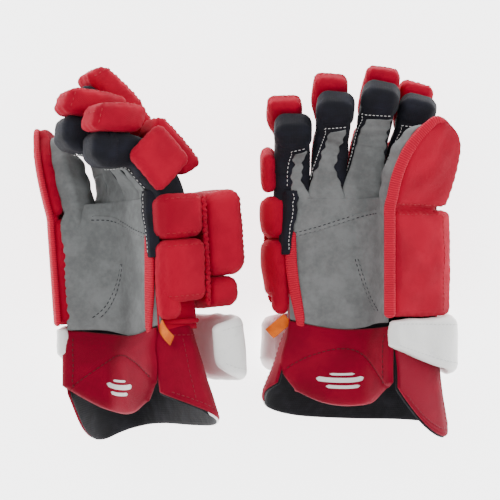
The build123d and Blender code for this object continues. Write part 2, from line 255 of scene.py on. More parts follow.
def suede(shade, colour):
    """Mottled split leather: cloudy patches, darker rubbed spots and a short nap."""
    place = shade.place()
    cloud = shade.noise(place, 38.0, 5.0, 0.62)
    spots = shade.noise(place, 210.0, 3.0, 0.6)
    nap = shade.noise(place, 1500.0, 2.0)
    mottled = (cloud * 0.72 + spots * 0.28).between(0.34, 0.66)
    base = shade.mix(mottled, tone(colour, 0.82), tone(colour, 1.24))
    grease = shade.noise(place, 16.0, 2.0).between(0.56, 0.72)
    base = shade.mix(grease * 0.2, base, tone(colour, 0.66))
    soft = shade.bump(shade.noise(place, 70.0, 4.0), 0.0016, 0.55)
    normal = shade.bump(nap, 0.0003, 0.6, soft)
    shade.finish(base, 0.9 - mottled * 0.08, normal, Sheen_Weight=0.06, Specular_IOR_Level=0.15)


def stretch_nylon(shade, colour, rib=0.0016):
    """Matte knitted stretch fabric in fine rows, with rubbed patches and a painted highlight on the ridges of
    the knit, which makes them slightly lighter.
    """
    across, along = shade.cloth()
    turn = 2 * math.pi / rib
    rows = (along * turn).sin() * 0.5 + 0.5
    knit = rows * ((across * turn).sin() * 0.5 + 0.5)
    place = shade.place()
    dust = shade.noise(place, 60.0, 5.0)
    # Rubbed dust patches mixed with the knit: painted highlight on the ridges of its rows, painted shade
    # between them.
    rubbed = (dust.between(0.4, 0.75) * 0.7 + knit * 0.3).clamp()
    base = shade.mix(rubbed, tone(colour, 0.7), tone(colour, 2.1))
    soft = shade.bump(shade.noise(place, 120.0, 3.0), 0.0011, 0.6)
    normal = shade.bump(knit, 0.0002, 0.6, soft)
    shade.finish(base, 0.68 + dust * 0.2, normal, Sheen_Weight=0.02, Specular_IOR_Level=0.22)


def band_leather(shade, colour):
    """Soft white synthetic leather with creases, a fine grain and painted grey shade in the folds of the
    creases.
    """
    place = shade.place()
    edges = {"feature": "DISTANCE_TO_EDGE"}
    cells = shade.node("ShaderNodeTexVoronoi", edges, {"Vector": place, "Scale": 620.0})
    grain = cells.between(0.0, 0.18)
    crease = shade.noise(place, 55.0, 5.0, 0.6)
    # Painted shade: grey in the folds, following the crease noise that also makes the bump; the leather is
    # rougher there too.
    crease_shade = crease.between(0.56, 0.74)
    base = shade.mix(crease_shade * 0.35, colour, tone(colour, 0.72))
    base = shade.mix(shade.noise(place, 12.0, 3.0).between(0.5, 0.72) * 0.3, base, tone(colour, 0.84))
    soft = shade.bump(crease, 0.002, 0.6)
    normal = shade.bump(grain, 0.00012, 0.45, soft)
    shade.finish(base, 0.5 + crease_shade * 0.2, normal, Specular_IOR_Level=0.4)


def ribbed_tape(shade, colour):
    """Binding tape with a knitted surface: a painted highlight on its ribs and painted shade between them."""
    across, along = shade.cloth()
    ribs = (along * (2 * math.pi / sizes().rib_pitch)).sin() * 0.5 + 0.5
    knit = (across * (2 * math.pi / 0.0009)).sin() * 0.5 + 0.5
    place = shade.place()
    fade = shade.noise(place, 45.0, 3.0)
    # Painted highlight on the ribs and painted shade between them, mixed with slow fading.
    light = (ribs * 0.55 + fade * 0.45).clamp()
    base = shade.mix(light, tone(colour, 0.58), tone(colour, 1.2))
    normal = shade.bump(ribs * 0.8 + knit * 0.2, 0.0003, 0.7)
    shade.finish(base, 0.66 + fade * 0.1, normal, Sheen_Weight=0.03, Specular_IOR_Level=0.22)


def thread(shade, colour):
    """Twisted sewing thread."""
    twist = shade.noise(shade.place(), 1800.0, 1.0)
    base = shade.mix(twist, tone(colour, 0.75), tone(colour, 1.2))
    shade.finish(base, 0.55 + twist * 0.15, shade.bump(twist, 0.0001, 0.5), Specular_IOR_Level=0.4)


def moulded_plastic(shade, colour):
    """Black moulded sheet with a spark-eroded grain and faint rub marks."""
    place = shade.place()
    grain = shade.noise(place, 1300.0, 2.0)
    rub = shade.noise(place, 35.0, 4.0).between(0.5, 0.75)
    base = shade.mix(rub * 0.5, colour, (0.085, 0.085, 0.09))
    shade.finish(base, 0.4 + rub * 0.2, shade.bump(grain, 0.0001, 0.4))


FINISHES = {  # slot, builder, a colour or the name of its setting, a factor on it, the builder's settings
    "red shell": ("red_shell", woven_nylon, "red"),
    "crimson shell": ("crimson_cuff", woven_nylon, "crimson"),
    "ribbed tape": ("red_shell", ribbed_tape, "tape"),
    "grey suede": ("grey_suede", suede, "suede"),
    "band": ("white_band", band_leather, "white"),
    "black nylon": ("black_nylon", stretch_nylon, "black"),
    "black lining": ("black_lining", stretch_nylon, (0.012, 0.012, 0.015), 1.0, {"rib": 0.0022}),
    "elastic": ("black_nylon", stretch_nylon, (0.02, 0.02, 0.022), 1.0, {"rib": 0.0024}),
    "orange tag": ("crimson_cuff", stretch_nylon, "orange", 1.0, {"rib": 0.0012}),
    "red thread": ("red_shell", thread, (0.40, 0.006, 0.02)),
    "white thread": ("white_band", thread, (0.75, 0.75, 0.74)),
    "black thread": ("black_lining", thread, (0.015, 0.015, 0.02)),
    "crimson thread": ("crimson_cuff", thread, "crimson", 0.9),
    "dark thread": ("crimson_cuff", thread, "crimson", 0.35),
    "moulded plastic": (None, moulded_plastic, (0.04, 0.04, 0.045)),
}


def finished(name):
    """A finish's material, which is made once, and its slot."""
    slot, build, colour, *rest = FINISHES[name]
    factor = rest[0] if rest else 1.0
    settings = rest[1] if len(rest) > 1 else {}
    shade = Shade(name)
    if shade.fresh:
        colour = getattr(colours(), colour) if isinstance(colour, str) else colour
        build(shade, tone(colour, factor) if factor != 1.0 else colour, **settings)
    return shade.material, slot


# ---------------------------------------------------------------- numpy shapes


def unit(vector):
    return vector / np.linalg.norm(vector)


def unit_rows(rows):
    """Directions along the rows' last axis, with none for a row of zeros."""
    return rows / np.maximum(np.linalg.norm(rows, axis=-1, keepdims=True), 1e-9)


def beside(way):
    """Directions in a plane turned a quarter to the left."""
    return np.stack([-way[..., 1], way[..., 0]], -1)


def share_grid(rows, cols, wrap=False):
    """Tables from 0 to 1, down the rows and along the columns; a wrapped one stops a row short of 1."""
    return np.meshgrid(np.linspace(0, 1, rows, endpoint=not wrap), np.linspace(0, 1, cols), indexing="ij")


def lattice(cells):
    """The skin of a cube from -1 to 1, as (points, quads, quad axes).

    Each pair of faces is a grid over the other two axes; corners that the faces share are merged."""
    points, quads, axes = [], [], []
    count = 0
    for axis in range(3):
        a, b = (axis + 1) % 3, (axis + 2) % 3
        steps = [np.linspace(-1, 1, cells[k] + 1) for k in (a, b)]
        grid_a, grid_b = np.meshgrid(*steps, indexing="ij")
        for sign in (-1, 1):
            face = np.empty((*grid_a.shape, 3))
            face[..., a], face[..., b], face[..., axis] = grid_a, grid_b, sign
            index = np.arange(grid_a.size).reshape(grid_a.shape) + count
            quad = faces_of(index)
            quads.append(quad if sign > 0 else quad[:, ::-1])
            axes.append(np.full(len(quad), axis))
            points.append(face.reshape(-1, 3))
            count += grid_a.size
    stacked = np.concatenate(points)
    merged, inverse = np.unique(np.round(stacked, 6), axis=0, return_inverse=True)
    return merged, inverse.reshape(-1)[np.concatenate(quads)], np.concatenate(axes)


def ripple(points, wavelength, seed):
    """Smooth noise of about unit height: a mean of sines in random directions."""
    random = np.random.default_rng(seed)
    total = np.zeros(len(points))
    for _ in range(7):
        way = random.normal(size=3)
        way *= random.uniform(0.6, 1.5) / np.linalg.norm(way)
        total += np.sin(points @ way * 2 * math.pi / wavelength + random.uniform(0, 2 * math.pi))
    return total / 3.0


class Pad:
    """A stuffed shape: a box with rounded edges and crowned faces, set in place by a function.

    A point of the cube's skin is scaled to the box, pushed out from a smaller core by the edge radius,
    crowned by (1 - a^2)(1 - b^2) of its face and moved out by gathers that fade away from the seams."""

    def __init__(self, size, place, radius=8.0, crown=None, cell=2.6, pucker=None, wave=1.0, seed=1):
        self.half = np.array(size, float) / 2
        self.radius = np.minimum(radius, self.half * 0.985)
        given = sizes().crown / MM if crown is None else crown
        self.crown = np.broadcast_to(np.asarray(given, float), (3,))
        self.pucker = sizes().pucker / MM if pucker is None else pucker
        self.place, self.cell, self.wave, self.seed = place, cell, wave, seed

    def box_points(self, cube):
        """The skin in the box's own millimetres."""
        half, core = self.half, self.half - self.radius
        box = cube * half
        inner = np.clip(box, -core, core)
        way = unit_rows((box - inner) / self.radius)
        skin = inner + way * self.radius
        rest = 1 - cube ** 2
        for k in range(3):
            swell = rest[:, (k + 1) % 3] * rest[:, (k + 2) % 3]
            on_face = np.sign(cube[:, k]) * (np.abs(cube[:, k]) > 0.999)
            skin[:, k] += on_face * self.crown[k] * swell
        edge = np.sort((1 - np.abs(cube)) * half, axis=1)[:, 1]
        run = skin.sum(axis=1)
        phase = ripple(skin, 70.0, self.seed + 7) * 2.5
        gather = np.exp(-edge / 6.0) * np.sin(run * 2 * math.pi / 8.5 + phase) * self.pucker
        dents = ripple(skin, 34.0, self.seed) * 0.45 * self.wave
        return skin + way * (gather + dents)[:, None]

    def at(self, cube):
        """Places on the skin in the glove's millimetres, for points of the cube."""
        return self.place(self.box_points(np.atleast_2d(np.asarray(cube, float))))

    def mesh(self):
        cells = np.clip(np.round(2 * self.half / self.cell).astype(int), 3, 90)
        cube, quads, axes = lattice(cells)
        flat = cube * self.half
        corner = flat[quads]
        first, second = (axes + 1) % 3, (axes + 2) % 3
        rows = np.arange(len(quads))[:, None]
        cols = np.arange(4)[None, :]
        uv = np.stack([corner[rows, cols, first[:, None]], corner[rows, cols, second[:, None]]], -1)
        swap = axes == 1
        uv[swap] = uv[swap][..., ::-1]
        return self.place(self.box_points(cube)), quads, uv * MM


class Route:
    """A smooth line through space near the given corners, made by cutting its corners in rounds."""

    def __init__(self, corners, rounds=4):
        points = np.array(corners, float)
        for _ in range(rounds):
            near, far = points[:-1] * 0.75 + points[1:] * 0.25, points[:-1] * 0.25 + points[1:] * 0.75
            inner = np.stack([near, far], 1).reshape(-1, points.shape[1])
            points = np.concatenate([points[:1], inner[1:-1], points[-1:]])
        self.points = points
        self.run = np.concatenate([[0], np.cumsum(np.linalg.norm(np.diff(points, axis=0), axis=1))])
        self.length = self.run[-1]

    def at(self, run):
        """The places at distances along the line, which goes straight on past its two ends."""
        run = np.asarray(run, float)
        inside = np.clip(run, 0, self.length)
        spot = np.stack([np.interp(inside, self.run, column) for column in self.points.T], -1)
        ends = np.where((run < 0)[..., None], unit(self.points[1] - self.points[0]),
                        unit(self.points[-1] - self.points[-2]))
        return spot + ends * (run - inside)[..., None]

    def way(self, run, step=1.0):
        """The directions at distances along the line."""
        ahead = self.at(np.asarray(run) + step) - self.at(np.asarray(run) - step)
        return unit_rows(ahead)


def bent(route, y_of):
    """Sets a box along a route in the XZ plane: x runs along it, y across the hand and z is its thickness.

    y_of gives a point's Y from its share along the route and its share across, both from 0 to 1."""

    def place(box, half):
        run = (box[:, 0] / half[0] * 0.5 + 0.5) * route.length
        spot, way = route.at(run), route.way(run, 2.0)
        out = beside(way)
        flat = spot + out * box[:, 2:3]
        y = y_of(run / route.length, box[:, 1] / half[1] * 0.5 + 0.5)
        return np.stack([flat[:, 0], y, flat[:, 1]], -1)

    return place


def bent_pad(route, width, thickness, y_of, **more):
    """A pad laid along a route in the XZ plane."""
    pad = Pad((route.length, width, thickness), None, **more)
    place = bent(route, y_of)
    pad.place = lambda box: place(box, pad.half)
    return pad


def ribbon(path, up, width, thickness, ribs=None, sides=14, power=3.0, depth=0.1):
    """A tape along a path: its section is a superellipse, and ribs across it swell and sink along the run."""
    route = path if isinstance(path, Route) else Route(path, 0)
    step = ribs / 5 if ribs else 2.5
    run = np.linspace(0, route.length, max(8, int(route.length / step)) + 1)
    spot, way = route.at(run), route.way(run)
    side = unit_rows(np.cross(way, resample(up, len(run))))
    top = np.cross(side, way)
    angle = np.linspace(0, 2 * math.pi, sides, endpoint=False)
    half = resample(np.atleast_1d(width)[:, None], len(run)) / 2
    across = np.sign(np.cos(angle)) * np.abs(np.cos(angle)) ** (2 / power) * half
    high = np.sign(np.sin(angle)) * np.abs(np.sin(angle)) ** (2 / power) * thickness / 2
    ends = np.clip(np.minimum(run, route.length - run) / (thickness * 0.8), 0, 1)
    shrink = np.sqrt(np.clip(1 - (1 - ends) ** 2, 0.02, 1))[:, None]
    swell = 1.0 + (np.sin(run * 2 * math.pi / ribs) * depth if ribs else 0 * run)[:, None]
    points = spot[:, None] + side[:, None] * (across * shrink)[..., None]
    points = points + top[:, None] * (high * swell * shrink)[..., None]
    index = np.arange(points.shape[0] * sides).reshape(-1, sides)
    after = np.roll(index, -1, axis=1)
    quads = np.stack([index[:-1], index[1:], after[1:], after[:-1]], -1).reshape(-1, 4)
    nxt = np.roll(across, -1, axis=1)
    u = np.stack([across[:-1], across[1:], nxt[1:], nxt[:-1]], -1)
    v = np.stack([run[:-1], run[1:], run[1:], run[:-1]], -1)[:, None].repeat(sides, 1)
    uv = np.stack([u, v], -1).reshape(-1, 4, 2) * MM
    cap = ring_cap(sides)
    quads = np.concatenate([quads, index[0][cap], index[-1][cap[:, ::-1]]])
    return points.reshape(-1, 3), quads, np.concatenate([uv, np.zeros((2 * len(cap), 4, 2))])


def ring_cap(sides):
    """Quads that close a ring with an even number of corners."""
    step = np.arange(sides // 2 - 1)
    return np.stack([step, step + 1, sides - 2 - step, sides - 1 - step], -1)


def resample(rows, count):
    """A table of rows stretched to another number of rows."""
    rows = np.atleast_2d(np.asarray(rows, float))
    if len(rows) == 1:
        return np.repeat(rows, count, 0)
    old, new = np.linspace(0, 1, len(rows)), np.linspace(0, 1, count)
    return np.stack([np.interp(new, old, rows[:, k]) for k in range(rows.shape[1])], -1)


def stitch_row(path, up, radius=None, length=None, lift=0.2):
    """Stitches along a path: one small rounded bar for each, with gaps of STITCH_GAP of its length."""
    route = path if isinstance(path, Route) else Route(path, 0)
    long = length or sizes().stitch / MM
    thick = radius or sizes().thread / MM
    pitch = long * (1 + STITCH_GAP)
    count = max(2, int(route.length / pitch))
    run = (np.arange(count) + 0.5) * route.length / count
    spot, way = route.at(run), route.way(run)
    side = unit_rows(np.cross(way, resample(up, count)))
    top = np.cross(side, way)
    cube, quads, _ = lattice((4, 2, 2))
    bar = Pad((long, 2 * thick, 1.5 * thick), lambda box: box, radius=thick, crown=0.0, pucker=0.0, wave=0.0)
    shape = bar.box_points(cube)
    points = spot[:, None] + shape[None, :, :1] * way[:, None] + shape[None, :, 1:2] * side[:, None]
    points = points + (shape[None, :, 2:3] + lift) * top[:, None]
    faces = (quads[None] + (np.arange(count) * len(cube))[:, None, None]).reshape(-1, 4)
    uv = np.zeros((len(faces), 4, 2))
    return points.reshape(-1, 3), faces, uv


def joined(parts):
    """Several (points, quads, uv) shapes as one."""
    starts = np.cumsum([0] + [len(part[0]) for part in parts[:-1]])
    quads = [part[1] + start for part, start in zip(parts, starts)]
    points, uv = (np.concatenate([part[k] for part in parts]) for k in (0, 2))
    return points, np.concatenate(quads), uv


def smooth(share):
    """A smooth step from 0 to 1."""
    t = np.clip(share, 0, 1)
    return t * t * (3 - 2 * t)


def curve_through(shares, values):
    """A smooth function near the given (share, value) corners."""
    route = Route(list(zip(shares, values)))
    return lambda share: np.interp(share, route.points[:, 0], route.points[:, 1])


def row_up(points):
    """Outward directions of a grid of points, from its two tangents."""
    first, second = np.gradient(points, axis=0), np.gradient(points, axis=1)
    return unit_rows(np.cross(first, second))


def faces_of(index):
    """Quads over a grid of vertex numbers, facing along its first axis crossed with its second."""
    return np.stack([index[:-1, :-1], index[1:, :-1], index[1:, 1:], index[:-1, 1:]], -1).reshape(-1, 4)


def run_along(points, axis):
    """The distance run along one axis of a grid of points."""
    steps = np.linalg.norm(np.diff(points, axis=axis), axis=2)
    return np.insert(np.cumsum(steps, axis=axis), 0, 0, axis=axis)


def slab(points, thick, wrap=False, sink=0.5):
    """A wall over a grid of points: a face to each side, thick apart, and a rounded rim between them.

    The wall faces along the grid's first axis crossed with its second. A wrapped wall is a tube: its first
    axis closes on itself. sink is the share of the thickness that lies behind the grid."""
    rows, cols = points.shape[:2]
    around = np.concatenate([points, points[:1]]) if wrap else points
    up = row_up(np.concatenate([points[-1:], around]))[1:-1] if wrap else row_up(points)
    thick = np.broadcast_to(np.asarray(thick, float), (rows, cols))[..., None]
    front = (points + up * thick * (1 - sink)).reshape(-1, 3)
    back = (points - up * thick * sink).reshape(-1, 3)
    total = rows * cols
    index = np.arange(total).reshape(rows, cols)
    face = faces_of(np.concatenate([index, index[:1]]) if wrap else index)
    flat = np.stack([run_along(around, 0), run_along(around, 1)], -1)
    face_uv = flat.reshape(-1, 2)[faces_of(np.arange(flat[..., 0].size).reshape(flat.shape[:2]))]
    verts, quads, uvs = [front, back], [face, face[:, ::-1] + total], [face_uv, face_uv[:, ::-1]]
    rims = [index[:, 0], index[::-1, -1]] if wrap else [
        np.concatenate([index[:, 0], index[-1, 1:], index[-2::-1, -1], index[0, -2:0:-1]])]
    count = 2 * total
    for rim in rims:
        row = rim // cols if wrap else np.clip(rim // cols, 1, rows - 2)
        inner = np.clip(rim % cols, 1, cols - 2) + cols * row
        out = unit_rows(points.reshape(-1, 3)[rim] - points.reshape(-1, 3)[inner])
        verts.append((front[rim] + back[rim]) / 2 + out * thick.reshape(-1, 1)[rim] * 0.5)
        edge = np.arange(len(rim)) + count
        after, rim_after = np.roll(edge, -1), np.roll(rim, -1)
        quads.append(np.stack([rim, edge, after, rim_after], -1))
        quads.append(np.stack([rim + total, rim_after + total, after, edge], -1))
        at, at_after = flat.reshape(-1, 2)[rim], flat.reshape(-1, 2)[rim_after]
        uvs += [np.stack([at, at, at_after, at_after], 1), np.stack([at, at_after, at_after, at], 1)]
        count += len(rim)
    return np.concatenate(verts), np.concatenate(quads), np.concatenate(uvs) * MM


# ---------------------------------------------------------------- the gloves' own frames


def laid(height):
    """Heights of soft goods pressed on the floor: t exp((z - t) / t) below a layer t, so none passes it."""
    layer = PRESSED_LAYER
    return np.where(height < layer, layer * np.exp(np.minimum(height / layer - 1, 0)), height)


class Glove:
    """One glove's frame: its millimetres to the world's metres and back, and what its nodes measure there."""

    def __init__(self, side):
        self.side = side
        self.mirror = -1.0 if side == "left" else 1.0
        self.joints = {joint["name"]: joint for joint in FRAME["joints"]}
        flap, axis = self.joint("flap_hinge")
        cuff, axis = self.joint("cuff_hinge")
        up = unit(flap - cuff)
        along = np.cross(up, axis)
        self.axes = np.stack([axis * self.mirror, along, up])
        self.origin = flap - FLAP_HINGE[0] * along - FLAP_HINGE[1] * up

    def snuggest(self, node, pivot, degrees, turned):
        """The angle at which a node's side view, turned about a pivot, fills the smallest box."""
        best, least = 0.0, math.inf
        for angle in np.radians(np.arange(*degrees, ANGLE_STEP)):
            low, high = self.span(node, lambda p: (p - pivot) @ turned(angle).T)
            area = (high[1] - low[1]) * (high[2] - low[2])
            if area < least:
                best, least = angle, area
        return best

    def joint(self, name):
        """A joint's place and axis in world millimetres."""
        joint = self.joints[f"{self.side}_{name}"]
        return np.array(joint["pos_m"]) / MM, unit(np.array(joint["axis"]))

    def local(self, points):
        return (np.asarray(points, float) - self.origin) @ self.axes.T

    def world(self, points):
        return (np.asarray(points, float) @ self.axes + self.origin) * MM

    def corners(self, node):
        """A CAD node's vertices in this frame."""
        mesh = FRAME["nodes"][f"{self.side}_{node}"].data
        flat = np.empty(len(mesh.vertices) * 3)
        mesh.vertices.foreach_get("co", flat)
        return self.local(flat.reshape(-1, 3) / MM)

    def span(self, node, place=None):
        """The lowest and highest corners of a CAD node in this frame, or in the one that place turns to."""
        points = self.corners(node)
        points = place(points) if place else points
        return points.min(axis=0), points.max(axis=0)

    def make(self, name, body, shape, finish, stands_for=(), blend=None, pad=None, cut=None):
        """Puts a shape, in this glove's millimetres, into a mesh object that moves with a body, unless it is
        given a blend.

        finish is a name in FINISHES, and stands_for holds the CAD nodes that the piece replaces.
        blend is (a body, start, end), the two points in this glove's millimetres; a piece given a blend is
        baked in place and moves with no body.
        cut is (grid, node under it) for a sewn sheet, whose flat size is what its grid measures; it is not
        used."""
        points, quads, uv = shape
        if self.mirror < 0:
            quads, uv = quads[:, ::-1], uv[:, ::-1]
        mesh = bpy.data.meshes.new(f"{self.side}_{name}")
        mesh.vertices.add(len(points))
        place = self.world(points)
        place[:, 2] = laid(place[:, 2])
        mesh.vertices.foreach_set("co", place.astype(np.float32).reshape(-1))
        mesh.loops.add(quads.size)
        mesh.loops.foreach_set("vertex_index", quads.astype(np.int32).reshape(-1))
        mesh.polygons.add(len(quads))
        mesh.polygons.foreach_set("loop_start", np.arange(0, quads.size, 4, dtype=np.int32))
        mesh.update(calc_edges=True)
        layer = mesh.uv_layers.new(name="cloth")
        layer.data.foreach_set("uv", uv.astype(np.float32).reshape(-1))
        mesh.polygons.foreach_set("use_smooth", np.ones(len(quads), bool))
        mesh.validate()
        material, slot = finished(finish)
        mesh.materials.append(material)
        piece = bpy.data.objects.new(mesh.name, mesh)
        bpy.context.collection.objects.link(piece)
        if blend:
            other, start, end = blend
            ends = [tuple(float(v) for v in self.world(point)) for point in (start, end)]
            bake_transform(piece)
        else:
            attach(piece, f"{self.side}_{body}")
        if stands_for:
            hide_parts(*[f"{self.side}_{node}" for node in stands_for])
        return piece


class Finger:
    """A finger at rest: in its own straight frame x is across, y runs from the knuckle and z is palmwards.

    The straight frame is laid along three directions, in the hand, past the knuckle and past the middle
    joint, and turns smoothly from each to the next."""

    def __init__(self, glove, name):
        self.glove, self.name = glove, name
        knuckle, axis = glove.joint(f"{name}_knuckle")
        middle, _ = glove.joint(f"{name}_middle_joint")
        self.knuckle, self.middle = glove.local(knuckle), glove.local(middle)
        across = unit((glove.axes @ axis) * glove.mirror)
        palmwards = np.array([0.0, 0.0, 1.0])
        self.length = np.linalg.norm(self.middle - self.knuckle)
        along = (self.middle - self.knuckle) / self.length
        self.root = np.stack([across, np.cross(palmwards, across), palmwards])
        self.segment = np.stack([across, along, np.cross(across, along)])
        curl = glove.snuggest(f"{name}_tip_cap", self.middle, FINGER_CURLS, self.turned)
        self.tip = self.turned(curl)
        self.tip_length = glove.span(f"{name}_tip_cap", self.in_tip)[1][1]

    def turned(self, angle):
        """The segment's directions turned about the hinge, towards the palm."""
        across, along, palmwards = self.segment
        return np.stack([across, along * math.cos(angle) + palmwards * math.sin(angle),
                         palmwards * math.cos(angle) - along * math.sin(angle)])

    def in_segment(self, points):
        return (points - self.knuckle) @ self.segment.T

    def in_tip(self, points):
        return (points - self.middle) @ self.tip.T

    def on_segment(self, points):
        return self.knuckle + points @ self.segment

    def on_tip(self, points):
        return self.middle + points @ self.tip

    def bend(self, points, soft=12.0):
        """Lays straight points along the curled finger: a smooth step over soft mm each side of a joint."""
        points = np.asarray(points, float)
        flat = points.reshape(-1, 3)
        past_knuckle = smooth((flat[:, 1:2] + soft) / (2 * soft))
        past_middle = smooth((flat[:, 1:2] - self.length + soft) / (2 * soft))
        in_hand = self.knuckle + flat @ self.root
        on_segment = self.on_segment(flat)
        on_tip = self.on_tip(flat - [0, self.length, 0])
        lower = in_hand + (on_segment - in_hand) * past_knuckle
        return (lower + (on_tip - lower) * past_middle).reshape(points.shape)

    def knuckle_blend(self, reach=12.0):
        """Where cloth over the knuckle starts and stops turning."""
        way = unit(self.root[1] + self.segment[1])
        start = self.knuckle + FINGER_CENTRE
        return self.name, start - way * reach, start + way * reach

    def middle_blend(self, reach=12.0):
        way = unit(self.segment[1] + self.tip[1])
        return f"{self.name}_end", self.middle - way * reach, self.middle + way * reach


FLAP_HINGE = (-2.0, 6.0)  # the flap hinge's Y and Z in the glove's frame
ANGLE_STEP = 0.25  # degrees
FINGER_CENTRE = np.array([0.0, 0.0, -14.0])  # the middle of a stall's section, from the knuckle
FINGER_CURLS = (10.0, 60.0)  # the least and the most that a fingertip may be curled at rest, in degrees
THUMB_CURLS = (0.0, 35.0)
THUMB_FACE = 56.0  # how far the thumb's flat face runs before it turns down
GLOVES = {}


def gloves():
    """Both gloves with their fingers, worked out once."""
    if not GLOVES:
        for side in SIDES:
            glove = Glove(side)
            glove.fingers = {name: Finger(glove, name) for name in FINGERS}
            glove.thumb = Thumb(glove)
            GLOVES[side] = glove
    return GLOVES.values()


class Thumb:
    """The thumb's frame: x runs down its outer face, y along it from its joint and z out of the face."""

    def __init__(self, glove):
        pivot, axis = glove.joint("thumb_joint")
        self.pivot = glove.local(pivot)
        self.run = unit((glove.axes @ axis) * glove.mirror)
        self.along = np.array([0.0, 1.0, 0.0])
        self.out = np.cross(self.run, self.along)
        self.straight = np.stack([self.run, self.along, self.out])
        self.turned = self.at_angle(glove.snuggest("thumb_insert", self.pivot, THUMB_CURLS, self.at_angle))
        self.length = glove.span("thumb_shell", self.inside)[1][1]
        block = glove.span("thumb_block", lambda p: (p - self.pivot) @ self.straight.T)
        self.edge_run = block[0][0]

    def at_angle(self, angle):
        along = self.along * math.cos(angle) + self.out * math.sin(angle)
        out = self.out * math.cos(angle) - self.along * math.sin(angle)
        return np.stack([self.run, along, out])

    def inside(self, points):
        return (points - self.pivot) @ self.turned.T

    def bend(self, points, soft=10.0):
        """Lays straight points over the joint: in the hand's line below it and the thumb's line above it."""
        points = np.asarray(points, float)
        flat = points.reshape(-1, 3)
        share = smooth((flat[:, 1:2] + soft) / (2 * soft))
        low, high = self.pivot + flat @ self.straight, self.pivot + flat @ self.turned
        return (low + (high - low) * share).reshape(points.shape)

    def blend(self, reach=10.0, depth=-12.0):
        way = unit(self.straight[1] + self.turned[1])
        centre = self.pivot + self.out * depth
        return "thumb", centre - way * reach, centre + way * reach


# ---------------------------------------------------------------- the pieces of one glove


def box_place(low, high, warp=None):
    """Sets a box between two corners, with a warp of its millimetres."""
    middle = (np.array(low) + np.array(high)) / 2
    return lambda box: warp(box + middle) if warp else box + middle


BACK, OUTER, FRONT, END = (2, -1), (0, -1), (2, 1), (1, 1)  # a pad's faces: an axis and a side of it
FINE_STITCH = {"radius": 0.34, "length": 2.3}  # the white stitches beside an edge


def outward(pad, cube, axis):
    """Directions out of one face of a pad."""
    cube = np.atleast_2d(np.asarray(cube, float))
    under = cube.copy()
    under[:, axis] *= 0.8
    return unit_rows(pad.at(cube) - pad.at(under))


def seam_on(pad, face, start, end, count=60, **more):
    """A row of stitches on one face of a pad, between two points of that face's plane."""
    axis, sign = face
    share = np.linspace(0, 1, count)[:, None]
    cube = np.full((count, 3), float(sign))
    line = np.array(start) * (1 - share) + np.array(end) * share
    cube[:, (axis + 1) % 3], cube[:, (axis + 2) % 3] = line[:, 0], line[:, 1]
    return stitch_row(pad.at(cube), outward(pad, cube, axis), **more)


def back_pads(glove):
    """The big block and the lower roll: crowned boxes, the block leaning with the fingers."""
    low, high = glove.span("back_block")
    front = glove.span("hand_lining")[1][1] + 2.0
    lean = (high[1] - front) / (high[2] - low[2])
    outer = np.array([low[0], low[1], low[2] - 1.0])
    block = Pad(np.array([high[0], front, high[2]]) - outer, None, radius=13.0, crown=(2.2, 2.0, 3.2), seed=3)

    def place(box):
        points = box + (outer + [high[0], front, high[2]]) / 2
        share = np.clip((points[:, 1] - low[1]) / (front - low[1]), 0, 1)
        points[:, 1] += share * lean * (high[2] - points[:, 2])
        bulge = np.clip(1 - np.abs(points[:, 0] / 70.0), 0, 1) ** 0.5
        points[:, 2] -= 2.0 * bulge * np.clip((high[2] - points[:, 2]) / 40.0, 0, 1)
        return points

    block.place = place
    glove.make("back_pad", "hand", block.mesh(), "red shell", ("back_block",), pad=0.9)
    seams = [seam_on(block, BACK, (-0.93, edge), (0.93, edge)) for edge in (-0.82, 0.82)]
    seams += [seam_on(block, BACK, (side, -0.82), (side, 0.82)) for side in (-0.93, 0.93)]
    glove.make("back_pad_stitches", "hand", joined(seams), "red thread")
    low, high = glove.span("lower_roll")
    low, high = low + [0, 1.5, 0], high - [0, 0, 1.0]
    roll = Pad(high - low, box_place(low, high), radius=10.0, crown=(1.5, 0.2, 2.5), seed=4)
    glove.make("wrist_end_roll", "hand", roll.mesh(), "red shell", ("lower_roll",), pad=0.85)
    seams = [seam_on(roll, BACK, (-0.94, edge), (0.94, edge)) for edge in (-0.7, 0.7)]
    glove.make("wrist_end_stitches", "hand", joined(seams), "red thread")


def side_pads(glove):
    """The flat rolls down the little-finger side; the lowest one is folded in towards the palm."""
    low, high = glove.span("side_rolls")
    stand = glove.span("hand_lining")[0][0] - 0.5
    front = high[1]
    split = front - 41.5
    lower_fold = low[1] + 22.0
    runs = ((low[1] + 14.0, split, 0.0), (split + 2.0, front, 1.0))
    stitches = []
    for number, (start, end, outer) in enumerate(runs):
        a, b = np.array([low[0] - 0.5, start, low[2]]), np.array([stand, end, high[2] + 1.5])

        def warp(points, outer=outer, start=start, end=end):
            points = points.copy()
            share = np.clip((points[:, 1] - start) / (end - start), 0, 1)
            up = np.clip((points[:, 2] + 20) / 20, 0, 1)
            points[:, 0] += up ** 2 * (6.0 - 2 * outer) * np.clip((stand - points[:, 0]) / 20, 0, 1)
            points[:, 0] += (1 - share) * (5.0 - 3 * outer) * np.clip((stand - points[:, 0]) / 20, 0, 1)
            return points

        pad = Pad(b - a, box_place(a, b, warp), radius=8.5, crown=(2.6, 1.0, 1.0), seed=11 + number)
        names = ("side_rolls",) if not number else ()
        glove.make(f"side_roll_{number + 1}", "hand", pad.mesh(), "red shell", names, pad=0.85)
        stitches += [seam_on(pad, OUTER, (edge, -0.86), (edge, 0.86)) for edge in (-0.84, 0.84)]
    a = np.array([low[0] + 11.0, low[1] - 1.0, low[2] + 24.0])
    b = np.array([stand, lower_fold + 30.0, high[2] + 2.5])
    fold = Pad(b - a, box_place(a, b), radius=6.5, crown=(2.0, 0.8, 0.8), seed=15)
    glove.make("side_fold", "hand", fold.mesh(), "red shell", pad=0.7)
    stitches.append(seam_on(fold, OUTER, (-0.8, -0.8), (0.8, -0.8)))
    glove.make("side_stitches", "hand", joined(stitches), "red thread")


